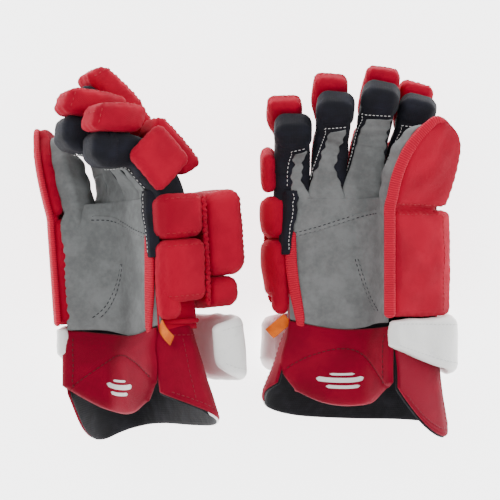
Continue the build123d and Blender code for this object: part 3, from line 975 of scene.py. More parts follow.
def hand_cover(glove):
    """The red cover round the back of the hand and the black lining in it: walls along a U section."""
    low, high = glove.span("hand_lining")
    edge = 8.0
    corners = [(low[0] - 0.2, 0.5), (low[0] - 0.2, low[2] + edge), (low[0] + edge, low[2] - 0.2),
               (high[0] - edge, low[2] - 0.2), (high[0] - 0.2, low[2] + edge), (high[0] - 0.2, high[2] + 1.0)]
    section = Route(corners)
    run = np.linspace(0, section.length, 110)
    y = np.linspace(low[1] - 6.0, high[1] + 3.0, 44)
    skins = ((0.2, "hand_cover", "red shell", ()),
             (-1.5, "hand_lining_cloth", "black lining", ("hand_lining",)))
    for shift, name, finish, stands_for in skins:
        spot, way = section.at(run), section.way(run)
        out = -beside(way)
        ring = spot + out * shift
        grid = np.stack([np.repeat(ring[:, :1], len(y), 1), np.repeat(y[None], len(run), 0),
                         np.repeat(ring[:, 1:], len(y), 1)], -1)
        points = grid.reshape(-1, 3)
        grid = (points + np.repeat(np.stack([out[:, 0], 0 * run, out[:, 1]], -1), len(y), 0)
                * (ripple(points, 26.0, 31) * 0.35)[:, None]).reshape(grid.shape)
        grid = grid[::-1]
        glove.make(name, "hand", slab(grid, 1.4), finish, stands_for)


class Palm:
    """The palm leather: a section across the hand, climbing the ball of the thumb, drawn along the hand."""

    SECTION = [(-60, -2), (-57, 2.5), (-46, 4.5), (-20, 4.2), (2, 4.2), (13, 6.5), (21, 15), (26, 30),
               (31.5, 50)]

    def __init__(self, top):
        self.route = Route(self.SECTION, 3)
        self.low = curve_through((0, 0.2, 0.42, 0.6, 0.72, 1.0), (3.0, -3.5, -8.5, -6.0, -1.0, 1.0))
        self.top = top

    def grid(self, u, v):
        """The leather's middle surface at shares across and along the palm."""
        run = u * self.route.length
        spot, way = self.route.at(run), self.route.way(run, 2.0)
        low = self.low(u)
        y = low + (self.top - low) * v
        hollow = 2.2 * np.sin(math.pi * np.clip(u / 0.72, 0, 1)) * np.sin(math.pi * np.clip(v, 0, 1))
        flat = np.stack([spot[..., 0], y], -1).reshape(-1, 2)
        points = np.concatenate([flat, spot[..., 1].reshape(-1, 1)], 1)
        soft = ripple(points * [1, 0.7, 1], 42.0, 41).reshape(u.shape) * 0.7
        crease = np.exp(-((points[:, 0] - 14 + 0.12 * points[:, 1]) / 5.0) ** 2).reshape(u.shape)
        lift = soft - hollow - crease
        out = beside(way)
        x, z = spot[..., 0] + out[..., 0] * lift, spot[..., 1] + out[..., 1] * lift
        z = z - smooth((v - 0.84) / 0.16) * np.clip(z - 2.2, 0, 7.0)
        return np.stack([x, y, z], -1)

    def at(self, flat):
        """Points and directions on the leather over (x, y) places."""
        flat = np.asarray(flat, float)
        run = np.interp(flat[:, 0], self.route.points[:, 0], self.route.run)
        u = run / self.route.length
        low = self.low(u)
        v = (flat[:, 1] - low) / (self.top - low)
        points = self.grid(u, v)
        side = self.grid(u + 0.01, v) - points
        return points, unit_rows(np.cross(side, np.array([0.0, 1.0, 0.0])))


def palm_leather(glove):
    """The palm, its doubled seams and the stitching along them."""
    top = glove.span("hand_lining")[1][1] + 1.0
    palm = Palm(top)
    u, v = share_grid(84, 100)
    grid = palm.grid(u, v)
    glove.make("palm_leather", "hand", slab(grid, 1.6), "grey suede", ("palm",),
               cut=(grid, "hand_lining"))
    rows = []
    seam = curve_line([(-55, 82), (-35, 87), (-10, 95), (12, 102), (24, 104)])
    ball = curve_line([(5, 60), (11, 40), (18, 22), (24, 10)])
    for line, shifts in ((seam, (-1.6, 1.6)), (ball, (-1.3, 1.3))):
        for shift in shifts:
            flat = line + [0, shift] if line is seam else line + [shift, 0]
            points, up = palm.at(flat)
            rows.append(stitch_row(points + up * 0.75, up, radius=0.5, lift=0.15))
    glove.make("palm_stitches", "hand", joined(rows), "black thread")
    ridges = []
    for line in (seam, ball):
        points, up = palm.at(line)
        ridges.append(ribbon(points + up * 0.3, up, 5.4, 1.9, sides=10))
    glove.make("palm_seam_folds", "hand", joined(ridges), "grey suede")


def curve_line(corners, count=90):
    """Evenly spaced points on a smooth line near the corners."""
    route = Route(corners)
    return route.at(np.linspace(0, route.length, count))


def thumb_root(glove):
    """The thick pad at the thumb's root: a crowned pad along a section that turns down at its edge."""
    low, high = glove.span("thumb_block")
    thumb = glove.thumb
    thick = glove.span("thumb_shell", thumb.inside)
    depth = thick[1][2] - thick[0][2]
    slope = thumb.run[[0, 2]]
    under = -thumb.out[[0, 2]] * depth / 2
    edge = (thumb.pivot + thumb.run * thumb.edge_run)[[0, 2]] + under
    corner = edge + slope * THUMB_FACE
    down = np.array([high[0] - 9.0, low[2] + 9.0])
    route = Route([edge + slope * 1.0, edge + slope * 22, corner - slope * 4, corner + slope * 3, down], 3)
    bottom, top = low[1], high[1] + 1.0
    pad = bent_pad(route, top - bottom, depth + 1.0, lambda r, s: bottom + (top - bottom) * s,
                   radius=7.0, crown=(1.0, 0.9, 2.6), seed=51)
    glove.make("thumb_root_pad", "hand", pad.mesh(), "red shell", ("thumb_block",), pad=0.9)
    ends = (((0.52, -0.93), (0.5, 0.93)), ((-0.9, 0.93), (0.9, 0.93)))
    lines = [seam_on(pad, FRONT, start, end) for start, end in ends]
    glove.make("thumb_root_stitches", "hand", joined(lines), "red thread")


def thumb_shell(glove):
    """The upper thumb: a leaf-shaped pad whose width and top are smooth functions of its length."""
    thumb = glove.thumb
    low, high = glove.span("thumb_shell", thumb.inside)
    left = curve_through((0, 0.3, 0.62, 0.86, 1.0), low[0] + np.array([1.0, 0.5, 5, 15, 27]))
    right = curve_through((0, 0.35, 0.7, 0.9, 1.0), high[0] - np.array([5, 0, 1, 7, 18]))
    pad = Pad((high[0] - low[0], high[1] - low[1] + 3, high[2] - low[2] + 1.0), None, radius=6.5,
              crown=(0.6, 1.0, 3.0), seed=61)

    def place(box):
        share = box[:, 0] / pad.half[0] * 0.5 + 0.5
        rise = np.clip(box[:, 1] / pad.half[1] * 0.5 + 0.5, 0, 1)
        top = high[1] - 9.0 * (2 * np.clip(share, 0, 1) - 1) ** 2 * rise
        x = left(rise) + (right(rise) - left(rise)) * share
        y = low[1] - 1.0 + (top - low[1] + 1.0) * (box[:, 1] / pad.half[1] * 0.5 + 0.5)
        z = (low[2] + high[2]) / 2 + box[:, 2]
        return thumb.pivot + np.stack([x, y, z], -1) @ thumb.turned

    pad.place = place
    glove.make("thumb_pad", "thumb", pad.mesh(), "red shell", ("thumb_shell",), pad=0.85)
    lines = [seam_on(pad, FRONT, (-0.95, -0.94), (0.95, -0.94))]
    glove.make("thumb_pad_stitches", "thumb", joined(lines), "red thread")
    glove.thumb_left = left


def thumb_hinge(glove):
    """The cloth in the fold between the two thumb pads, just under their faces."""
    thumb = glove.thumb
    run = np.linspace(thumb.edge_run + 3.0, thumb.edge_run + 60.0, 40)
    y = np.linspace(-9.0, 9.0, 16)
    across, along = np.meshgrid(run, y, indexing="ij")
    depth = -5.0 - 1.5 * np.exp(-(along / 3.0) ** 2)
    depth -= 8.0 * smooth((across - thumb.edge_run - 50.0) / 12.0)
    grid = np.stack([across, along, depth], -1)
    glove.make("thumb_fold_cloth", "hand", slab(thumb.bend(grid), 6.0), "red shell",
               blend=thumb.blend(depth=-6.0))


def thumb_web(glove):
    """The suede between the thumb and the index finger: an apron laid over the finger's root."""
    finger = glove.fingers["index"]
    section = Route([(-14, 8.0), (-2, 8.0), (10, 7.5), (20, 3.0), (27, -6.0), (29, -22.0)], 3)
    u, v = share_grid(40, 30)
    spot = section.at(u * section.length)
    y = -24.0 + (44.0 + 22.0 * smooth((u - 0.35) / 0.4)) * v
    straight = np.stack([spot[..., 0], y, spot[..., 1] - 4.5 * smooth(v)], -1)
    flat = straight.reshape(-1, 3)
    folds = ripple(flat, 24.0, 601) * 0.7
    grid = finger.bend(flat + np.array([0, 0, 1.0]) * folds[:, None]).reshape(straight.shape)
    glove.make("thumb_web", "hand", slab(grid, 1.3), "grey suede",
               blend=finger.knuckle_blend(), cut=(grid, "index_stall"))


def side_gusset(glove):
    """The black stretch strip beside the palm under the little finger: a ragged edge and white stitches."""
    low, _ = glove.span("palm")
    top = glove.span("hand_lining")[1][1] + 8.0
    u, v = share_grid(24, 70)
    y = top - 8.0 - 52.0 * (1 - v) + 8.0 * v
    ragged = ripple(np.stack([y.ravel(), 0 * y.ravel(), 0 * y.ravel()], -1), 8.0, 611).reshape(y.shape) * 0.9
    inner = low[0] + 1.5 + 5.0 * smooth(v * 1.6 - 0.3) + ragged
    outer = low[0] - 10.0 + 1.0 * v
    x = outer + (inner - outer) * u
    z = 5.6 - 7.0 * (1 - smooth(u * 1.8)) ** 1.5 - 1.6 * smooth(v * 3 - 2)
    grid = np.stack([x, y, z], -1)
    glove.make("side_gusset", "hand", slab(grid, 1.4), "black nylon", cut=(grid, "hand_lining"))
    line = grid[18, 4:-2]
    up = row_up(grid)[18, 4:-2]
    row = stitch_row(line + up * 0.7, up, **FINE_STITCH)
    glove.make("side_gusset_stitches", "hand", row, "white thread")


def thumb_leather(glove):
    """The leather stall under the thumb: a tube along a smoothed section, drawn in towards the tip."""
    thumb = glove.thumb
    low, high = glove.span("thumb_stall", thumb.inside)
    loop = [(low[0] + 2, high[2] - 1), (low[0], high[2] - 14), (low[0] + 6, low[2] + 8),
            (low[0] + 22, low[2]), (high[0] - 8, low[2] + 4), (high[0], high[2] - 10),
            (high[0] - 3, high[2] - 1)]
    ring = Route(loop + [loop[0]], 3)
    u, v = share_grid(90, 56, wrap=True)
    spot = ring.at(u * ring.length)
    start, end = low[1] - 16.0, high[1] + 1.0
    y = start + (end - start) * v
    centre = np.array([(low[0] + high[0]) / 2 + 2, high[2] - 2.0])
    shrink = np.sqrt(np.clip(1 - (np.clip(v - 0.45, 0, 1) / 0.56) ** 2, 0.004, 1))
    shrink = shrink * (0.86 + 0.14 * smooth((y - start) / 26.0))
    x, z = centre[0] + (spot[..., 0] - centre[0]) * shrink, centre[1] + (spot[..., 1] - centre[1]) * shrink
    straight = np.stack([x, y, z], -1)
    flat = straight.reshape(-1, 3)
    pleat = np.sin(flat[:, 1] * 2 * math.pi / 21.0 + ripple(flat, 60, 72) * 2) * 0.8
    pleat += ripple(flat, 30.0, 71) * 0.9
    way = unit_rows(np.stack([x - centre[0], 0 * x, z - centre[1]], -1).reshape(-1, 3))
    grid = thumb.bend((flat + way * pleat[:, None]).reshape(straight.shape))
    shape = slab(grid[::-1], 1.4, wrap=True)
    glove.make("thumb_leather", "hand", shape, "grey suede", ("thumb_stall",), blend=thumb.blend())


def thumb_tape(glove):
    """The ribbed tape that binds the thumb's palm edge, goes round its tip and tapers away."""
    thumb = glove.thumb
    edge = thumb.edge_run
    length = thumb.length
    shares = np.linspace(0, 1, 24)
    left = glove.thumb_left(shares)
    base = glove.span("thumb_block")[0][1] - thumb.pivot[1]
    rise = [(edge - 1.5, y) for y in np.linspace(base - 1, 6, 12)]
    rise += [(x - 2.0, 6 + (length - 16) * s) for x, s in zip(left[1:-3], shares[1:-3])]
    tip = [(left[-1] + 3, length - 0.5), (left[-1] + 13, length - 2.0), (left[-1] + 22, length - 9.0)]
    line = np.array(rise + tip)
    path = np.concatenate([line, np.full((len(line), 1), -3.5)], 1)
    route = Route(path, 2)
    run = np.linspace(0, route.length, 400)
    straight = route.at(run)
    points = thumb.bend(straight)
    tilt = np.array([-0.55, 0.0, 0.83])
    share = smooth((straight[:, 1:2] + 10) / 20)
    near_tip = smooth((run / route.length - 0.8) / 0.2)[:, None]
    local = tilt * (1 - near_tip) + np.array([0.1, 0.6, 0.8]) * near_tip
    up = (local @ thumb.straight) * (1 - share) + (local @ thumb.turned) * share
    width = sizes().tape_width / MM * (1.12 - 0.5 * near_tip[:, 0])
    shape = ribbon(Route(points, 0), up, width, 5.2, ribs=sizes().rib_pitch / MM)
    glove.make("thumb_tape", "hand", shape, "ribbed tape", blend=thumb.blend(depth=-3.0))


def little_side_tape(glove):
    """The wide tape along the palm's little-finger edge, from the knuckle to the wrist."""
    low, high = glove.span("palm")
    x = low[0]
    corners = [(x + 1.0, 86, 3), (x + 0.5, 60, 4.5), (x + 3.5, 34, 5), (x + 8.0, 12, 5), (x + 10.5, -3, 5),
               (x + 6.0, -13, 3)]
    route = Route(corners)
    up = np.array([[-0.25, 0, 1.0], [-0.3, 0, 1.0], [-0.1, 0, 1.0]])
    wide = np.array([9.5, 11.5, 11.5, 11.0, 9.5, 6.0])
    shape = ribbon(route, up, wide, 4.4, ribs=sizes().rib_pitch / MM)
    glove.make("palm_edge_tape", "hand", shape, "ribbed tape")
    inner = route.at(np.linspace(2, route.length - 2, 80)) + [3.6, 0, 1.7]
    glove.make("palm_edge_stitches", "hand", stitch_row(inner, up), "red thread")


def finger_ring(grow=0.0):
    """The section of a finger stall as a smooth closed line, from the middle of its back round by the
    little-finger side: its middle is straight ahead of the palm."""
    wide, deep = 15.25 + grow, 15.0 + grow
    corners = [(0, -deep), (-wide, -deep), (-wide, 0), (-wide, deep), (0, deep), (wide, deep), (wide, 0),
               (wide, -deep), (0, -deep)]
    return Route([(x, z + FINGER_CENTRE[2]) for x, z in corners], 3)


def around_finger(along, y, grow=0.0):
    """Points on a stall at an arc length from its palm middle and a place along the finger.

    The stall is a little wider at its root, where the fingers meet."""
    ring = finger_ring(grow)
    spot = ring.at(np.asarray(along) + ring.length / 2)
    spot[..., 0] *= 1 + 0.14 * smooth((16.0 - y) / 26.0) + 0.06 * smooth((52.0 - y) / 20.0)
    return np.stack([spot[..., 0], np.broadcast_to(y, spot.shape[:-1]), spot[..., 1]], -1)


def finger_sleeves(glove, finger):
    """The black stretch stall: two tubes round the finger, the second starting inside the first one's end."""
    name, long = finger.name, finger.length
    end = long + finger.tip_length - 14.0
    pieces = (("lower_sleeve", -17.0, long - 9.0, 0.0, "hand", finger.knuckle_blend()),
              ("upper_sleeve", long - 13.0, end, 0.35, name, finger.middle_blend()))
    for number, (part, start, end, grow, body, blend) in enumerate(pieces):
        ring = finger_ring(grow)
        u, v = share_grid(60, 34, wrap=True)
        straight = around_finger((u - 0.5) * ring.length, start + (end - start) * v, grow)
        flat = straight.reshape(-1, 3)
        way = unit_rows((flat - FINGER_CENTRE) * [1, 0, 1])
        folds = ripple(flat * [1, 1.8, 1], 30.0, 80 + number) * 0.5
        grid = finger.bend(flat + way * folds[:, None]).reshape(straight.shape)
        node = (f"{name}_stall",) if not number else (f"{name}_tip_cap",)
        glove.make(f"{name}_{part}", body, slab(grid, 1.2, wrap=True), "black nylon", node, blend=blend)


def finger_cap(glove, finger):
    """The black cap over the fingertip: a stuffed box with large round edges."""
    low, high = glove.span(f"{finger.name}_tip_cap", finger.in_tip)
    start = high[1] - 25.0
    size = (high[0] - low[0] + 4.2, high[1] - start + 1.0, high[2] - low[2] + 2.0)
    middle = np.array([0.8, (high[1] + start) / 2, (low[2] + high[2]) / 2])

    def place(box):
        points = box + middle
        droop = np.clip((points[:, 1] - start) / (high[1] - start), 0, 1) ** 2
        points[:, 2] -= droop * 3.0 * np.clip((points[:, 2] + 14) / 15, 0, 1)
        return finger.on_tip(points)

    pad = Pad(size, place, radius=9.5, crown=(0.8, 1.2, 1.0), cell=2.2, pucker=0.15, seed=90)
    glove.make(f"{finger.name}_cap", f"{finger.name}_end", pad.mesh(), "black nylon", pad=0.6)


PALM_TOP_Z = 3.4  # the palm leather's height at the knuckles
# The suede's two edges, from under the palm to the cap, as arc lengths from the finger's middle.
LEATHER_EDGES = {
    "little": ((-1.0, -1.0, -1.0, -0.5, 1.0, 3.0), (17.0, 14.0, 8.0, 7.5, 9.0, 13.0)),
    "ring": ((-17.0, -17.0, -13.0, -8.0, -5.5, -3.0), (17.0, 13.0, 5.5, 4.5, 8.0, 13.0)),
    "middle": ((-17.0, -17.0, -15.0, -13.0, -11.5, -9.0), (17.0, 17.0, 17.0, 14.5, 12.0, 14.0)),
    "index": ((-17.0, -17.0, -16.0, -10.5, -9.0, -6.0), (19.0, 19.0, 19.0, 18.0, 16.0, 14.0)),
}


def finger_leather(glove, finger):
    """The grey suede on the finger's palm side, with a ragged edge, and the stitches beside that edge."""
    name, long = finger.name, finger.length
    seed = FINGERS.index(name) + (10 if glove.side == "left" else 0)
    top = long + finger.tip_length - 27.0
    shares = (-0.3, 0.0, 0.25, 0.5, 0.75, 1.0)
    left, right = (curve_through(shares, edge) for edge in LEATHER_EDGES[name])
    pieces = (("lower_leather", -15.0, long - 5.0, "hand", finger.knuckle_blend()),
              ("upper_leather", long - 9.0, top, name, finger.middle_blend()))

    def ragged(y, shift):
        points = np.stack([y.ravel(), 0 * y.ravel() + shift, 0 * y.ravel()], -1)
        return ripple(points, 9.0, 100 + seed).reshape(y.shape) * 1.1

    for part, start, end, body, blend in pieces:
        u, v = share_grid(26, 60)
        y = start + (end - start) * v
        if part == "upper_leather":
            y = y + v ** 3 * 4.0 * (u - 0.35)
        share = y / top
        fade = smooth(y / 14.0)
        a, b = left(share) + ragged(y, 0.0) * fade, right(share) + ragged(y, 50.0) * fade
        straight = around_finger(a + (b - a) * u, y, 1.4 if part == "lower_leather" else 1.7)
        flat = straight.reshape(-1, 3)
        flat = flat + np.array([0, 0, 1.0]) * (ripple(flat * [1, 1.6, 1], 19.0, 120 + seed) * 0.4)[:, None]
        sink = smooth((12.0 - flat[:, 1]) / 24.0) * (PALM_TOP_Z - finger.knuckle[2] - 2.2)
        sink -= 2.0 * smooth((-2.0 - flat[:, 1]) / 11.0)
        flat = flat + np.array([0, 0, 1.0]) * sink[:, None]
        grid = finger.bend(flat).reshape(straight.shape)
        glove.make(f"{name}_{part}", body, slab(grid, 1.3), "grey suede", blend=blend,
                   cut=(grid, f"{name}_stall"))
        run = np.linspace(max(start, 8.0), end, 60)
        side = left(run / top) - 3.6 + ripple(np.stack([run, 0 * run, 0 * run], -1), 40.0, seed) * 0.8
        line = around_finger(side, run, 1.0)
        if part == "upper_leather":
            across = np.linspace(-0.1, 1.0, 30)
            over = left(1.0) - 3.0 + (right(1.0) - left(1.0) + 2.0) * across
            tip = around_finger(over, top + 3.5 + 3.5 * across, 1.6)
            line = np.concatenate([line[:-4], tip])
        smooth_line = Route(line, 2)
        run = np.linspace(0, smooth_line.length, 120)
        straight = smooth_line.at(run)
        up_way = unit_rows((straight - FINGER_CENTRE) * [1, 0, 1])
        bent_line = finger.bend(straight)
        bent_up = finger.bend(straight + up_way) - bent_line
        row = stitch_row(bent_line, bent_up, lift=0.5, **FINE_STITCH)
        glove.make(f"{name}_{part}_stitches", body, row, "white thread", blend=blend)


OUTER_SHIFT = {"little": -7.0, "ring": -5.0, "index": -3.0}  # the tip rolls sit a little to one side


def finger_rolls(glove, finger):
    """The foam rolls behind the two segments: crowned boxes whose ends lean as the finger curls."""
    name = finger.name
    levels = (("knuckle_roll", finger.in_segment, finger.on_segment, name),
              ("tip_roll", finger.in_tip, finger.on_tip, f"{name}_end"))
    for part, inside, outside, body in levels:
        low, high = glove.span(f"{name}_{part}", inside)
        low, high = low.copy(), high.copy()
        if part == "knuckle_roll":
            low[0], low[2], high[2] = -high[0], -54.0, -30.5
        points = inside(glove.corners(f"{name}_{part}"))
        points = points[np.abs(points[:, 0]) < high[0] + 0.1]
        top, back = points[points[:, 2] > high[2] - 0.2], points[points[:, 2] < low[2] + 0.2]
        near = (top[:, 1].min(), back[:, 1].min())
        far = (top[:, 1].max(), back[:, 1].max())
        outer_shift = OUTER_SHIFT.get(name, 0.0) * (part == "tip_roll")
        half = np.array([high[0] - low[0], 40.0, high[2] - low[2]]) / 2

        def place(box, near=near, far=far, half=half, low=low, high=high, outside=outside, shift=outer_shift,
                  part=part):
            depth = np.clip((high[2] - (box[:, 2] + (low[2] + high[2]) / 2)) / (high[2] - low[2]), -0.1, 1.1)
            start = near[0] + (near[1] - near[0]) * depth - 1.6
            end = far[0] + (far[1] - far[0]) * depth + (1.6 if part == "knuckle_roll" else 0.5)
            share = box[:, 1] / half[1] * 0.5 + 0.5
            y = start + (end - start) * share
            x = box[:, 0] + shift * smooth(share * 2.0)
            return outside(np.stack([x, y, box[:, 2] + (low[2] + high[2]) / 2], -1))

        pad = Pad(half * 2, place, radius=6.0, crown=(1.3, 0.9, 1.8), cell=2.3, seed=200 + len(name))
        glove.make(f"{name}_{part}_pad", body, pad.mesh(), "red shell", (f"{name}_{part}",), pad=0.9)
        lines = [seam_on(pad, BACK, (edge, -0.86), (edge, 0.86), count=30) for edge in (-0.78, 0.78)]
        if part == "tip_roll":
            lines.append(seam_on(pad, OUTER, (0.86, -0.7), (0.86, 0.7), count=30))
            lines.append(seam_on(pad, END, (-0.3, -0.8), (-0.3, 0.9), count=30))
        glove.make(f"{name}_{part}_stitches", body, joined(lines), "red thread")
    if name == "little":
        low, high = glove.span("little_knuckle_roll", finger.in_segment)
        a = np.array([low[0] - 0.5, 2.0, low[2] + 12.0])
        b = np.array([-high[0] - 0.6, high[1] - 1.0, high[2] + 1.5])
        pad = Pad(b - a, box_place(a, b, finger.on_segment), radius=6.0, crown=(1.8, 0.8, 0.8), seed=222)
        glove.make("little_side_pad", name, pad.mesh(), "red shell", pad=0.85)


# ---------------------------------------------------------------- the cuff, its flap and the wrist band


CUFF_RUN = 110.0  # how far the cuff's flare runs from the wrist to its end section


class CuffWall:
    """The flared cuff: a section at the wrist and one at the end, joined by straight lines."""

    def __init__(self, glove):
        low, high = glove.span("cuff_shell")
        self.top, self.end = high[1], high[1] - CUFF_RUN
        wrist = [(-56, 5), (-60.5, -8), (-60, -46), (84, -46), (84, 4), (62, 27), (48, 42), (39, 52)]
        far = [(-91, 14), (-104, -4), (-88, -65), (97, -65), (97, -4), (80, 18), (60, 37), (46, 48)]
        self.wrist, self.far = Route(wrist, 3), Route(far, 3)
        self.trim = curve_through((0, 0.08, 0.22, 0.4, 0.62, 0.74, 0.82, 0.9, 1.0),
                                  (-58, -70, -92, -97, -97, -104, -112, -99, -60))

    def grid(self, inset, longer=0.0, rows=150, cols=56, seed=300):
        """The wall's middle surface at an inset, from the wrist to its trimmed end."""
        u, v = share_grid(rows, cols)
        end = self.trim(u) - longer
        y = self.top + 3.0 + (end - self.top - 3.0) * v
        flare = (self.top - y) / (self.top - self.end)
        a, b = self.wrist.at(u * self.wrist.length), self.far.at(u * self.far.length)
        way = unit_rows(self.wrist.way(u * self.wrist.length))
        out = -beside(way)
        spot = a + (b - a) * flare[..., None] - out * inset
        points = np.stack([spot[..., 0], y, spot[..., 1]], -1)
        flat = points.reshape(-1, 3)
        shift = (ripple(flat, 55.0, seed) * 0.8).reshape(u.shape) * smooth(v * 4)
        return points + np.stack([out[..., 0], 0 * u, out[..., 1]], -1) * shift[..., None]


def cuff_walls(glove):
    """The crimson shell, its black lining, the pale edge binding and the rows of stitches."""
    wall = CuffWall(glove)
    shell = wall.grid(1.5)
    glove.make("cuff_skin", "cuff", slab(shell, 3.0), "crimson shell", ("cuff_shell",))
    lining = wall.grid(4.2, longer=2.0, rows=130, cols=46)
    glove.make("cuff_lining_cloth", "cuff", slab(lining, 1.8), "black lining", ("cuff_lining",))
    up = row_up(shell)
    rows = []
    for line in ((slice(4, -4), -4), (slice(4, -30), 6), (14, slice(8, -4)), (118, slice(8, -4))):
        rows.append(stitch_row(shell[line] + up[line] * 1.5, up[line], radius=0.4))
    glove.make("cuff_stitches", "cuff", joined(rows), "crimson thread")
    rim = shell[:, -1] - up[:, -1] * 1.2
    way = unit_rows(shell[:, -1] - shell[:, -2])
    lower = rim[20:100] + way[20:100] * 1.0
    glove.make("cuff_edge_piping", "cuff", ribbon(lower, up[20:100, -1], 3.6, 2.2, sides=10), "band")


def wrist_band(glove):
    """The soft white band round the back of the wrist: a crowned pad along a bent section."""
    low, high = glove.span("wrist_roll")
    thick = 12.0
    m = thick / 2
    right, left, back = high[0] - m, low[0] + m, low[2] + m
    corners = [(33.5, 57), (60, 37), (88, 19), (right - 1, 10), (right, -6), (right, back + 26),
               (right - 3, back + 8), (right - 14, back), (0, back), (left + 14, back), (left + 2, back + 9),
               (left, back + 24), (left, -45)]
    route = Route(corners, 3)
    stations = (0, 0.08, 0.2, 0.32, 0.5, 0.8, 0.93, 1.0)
    bottom = curve_through(stations, (-22, -32, -46, -53, -52, -57, -55, -40))
    top = curve_through(stations, (3.0, 4.0, 4.0, 5.0, 5.0, 5.0, 3.5, -3.0))
    pad = bent_pad(route, 55.0, thick, lambda r, s: bottom(r) + (top(r) - bottom(r)) * s, radius=6.0,
                   crown=(1.5, 1.0, 2.2), pucker=0.2, wave=1.5, cell=2.8, seed=401)
    glove.make("wrist_band", "cuff", pad.mesh(), "band", ("wrist_roll",), pad=0.8)
    rows = []
    for edge in (-0.72, 0.72):
        rows.append(seam_on(pad, FRONT, (-0.97, edge), (0.97, edge), count=200, radius=0.35))
    glove.make("wrist_band_stitches", "cuff", joined(rows), "white thread")
    run = np.linspace(0.41, 0.83, 60) * route.length
    spot, way = route.at(run), route.way(run)
    out = beside(way)
    place = spot + out * (thick / 2 + 2.2)
    path = np.stack([place[:, 0], 0 * run - 24.0, place[:, 1]], -1)
    up = np.stack([out[:, 0], 0 * run, out[:, 1]], -1)
    glove.make("wrist_elastic", "cuff", ribbon(path, up, 30.0, 1.6, ribs=2.4, depth=0.12), "elastic")


ARC_HEIGHT = -27.0  # how far down the flap its stitched arc rises
MARK_CENTRE = 0.46  # the middle of the plain bars on the flap
FLAP_SKIN = 4.35  # the flap's outer face above its middle surface, less what stitches sink in


def cuff_flap(glove):
    """The padded flap inside the wrist: a bent slab that swells in its middle, and is rounded at its end."""
    hinge, _ = glove.joint("flap_hinge")
    pivot = glove.local(hinge)
    low, high = glove.span("cuff_flap")
    rest = math.atan2(high[2] - 46.0, 48.0)
    corners = [(-67, 6.5), (-40, 8.5), (-12, 8.5), (8, 9.0), (17, 15), (23, 26), (30, 44), (35.5, 52.5)]
    section = Route(corners, 3)
    left = curve_through((0, 0.25, 0.5, 0.72, 1.0), (9.0, 6.0, 0.5, 0.5, 15.0))
    bottom = curve_through((0, 0.2, 0.42, 0.62, 0.8, 1.0), (-66, -77, -80.5, -78, -68, -55))
    top = curve_through((0, 0.3, 0.5, 0.7, 1.0), (-1.5, -8.5, -10.0, -7.5, -4.0))
    tilt_cos, tilt_sin = math.cos(rest), math.sin(rest)

    def surface(u, v):
        """The middle surface at shares across the flap and from its top edge to its end."""
        start = left(v)
        run = start + (section.length - start) * u
        spot = section.at(run)
        way = section.way(run, 2.0)
        out = beside(way)
        y = top(u) + (bottom(u) - top(u)) * v
        swell = 2.6 * np.sin(math.pi * np.clip(v, 0, 1)) ** 0.6
        swell = swell * np.sin(math.pi * np.clip(u * 1.1, 0, 1)) ** 0.6
        arc = ARC_HEIGHT - 30.0 * (2 * u - 0.86) ** 2
        groove = np.exp(-((y - arc) / 2.6) ** 2) * 1.3
        flat = np.stack([spot[..., 0], y, spot[..., 1]], -1)
        lift = swell - groove + (ripple(flat.reshape(-1, 3), 38.0, 501) * 0.5).reshape(u.shape)
        lift = lift - 3.6 * (1 - smooth(v * 3.2))
        x, z = spot[..., 0] + out[..., 0] * lift, spot[..., 1] + out[..., 1] * lift
        dy, dz = y - pivot[1], z - pivot[2]
        y, z = pivot[1] + dy * tilt_cos + dz * tilt_sin, pivot[2] + dz * tilt_cos - dy * tilt_sin
        return np.stack([x, y, z], -1)

    def facing(u, v):
        """The directions out of the surface."""
        du, dv = surface(u + 0.01, v) - surface(u - 0.01, v), surface(u, v + 0.01) - surface(u, v - 0.01)
        return unit_rows(np.cross(dv, du))

    u, v = share_grid(80, 60)
    edge = np.minimum(np.minimum(u, 1 - u) * 90, (1 - v) * 70)  # millimetres to the nearest free edge
    full = np.sqrt(np.clip(1 - (1 - np.clip(edge / 9.0, 0, 1)) ** 2, 0, 1))
    thick = 3.0 + 5.5 * full * smooth(v * 4 + 0.15)
    grid = surface(u, v)
    shape = slab(grid[:, ::-1], thick[:, ::-1], sink=0.5)
    reach = np.array([0.0, 7.0, 0.0])
    centre = np.array([-20.0, pivot[1], pivot[2]])
    blend = ("flap", centre + reach, centre - reach)
    glove.make("wrist_flap", "hand", shape, "crimson shell", ("cuff_flap",), blend=blend, pad=0.7)
    u_line = np.linspace(0.04, 0.9, 120)
    arc_y = ARC_HEIGHT - 30.0 * (2 * u_line - 0.86) ** 2
    v_line = (arc_y - top(u_line)) / (bottom(u_line) - top(u_line))
    inside = (v_line > 0.08) & (v_line < 0.94)
    lines = [(u_line[inside], v_line[inside]), (np.full(60, 0.93), np.linspace(0.12, 0.93, 60))]
    rows = []
    for a, b in lines:
        points = surface(a, b)
        up = facing(a, b)
        rows.append(stitch_row(points + up * FLAP_SKIN, up, radius=0.42))
    glove.make("wrist_flap_stitches", "hand", joined(rows), "dark thread", blend=blend)
    marks = []
    for height, half, wide in ((0.66, 0.2, 4.6), (0.75, 0.14, 3.2), (0.58, 0.1, 2.2)):
        a = np.linspace(MARK_CENTRE - half, MARK_CENTRE + half, 40)
        b = np.full(40, height)
        points = surface(a, b)
        up = facing(a, b)
        marks.append(ribbon(points + up * FLAP_SKIN, up, wide, 0.8, sides=10, power=5.0))
    glove.make("flap_bars", "hand", joined(marks), "white thread", blend=blend)


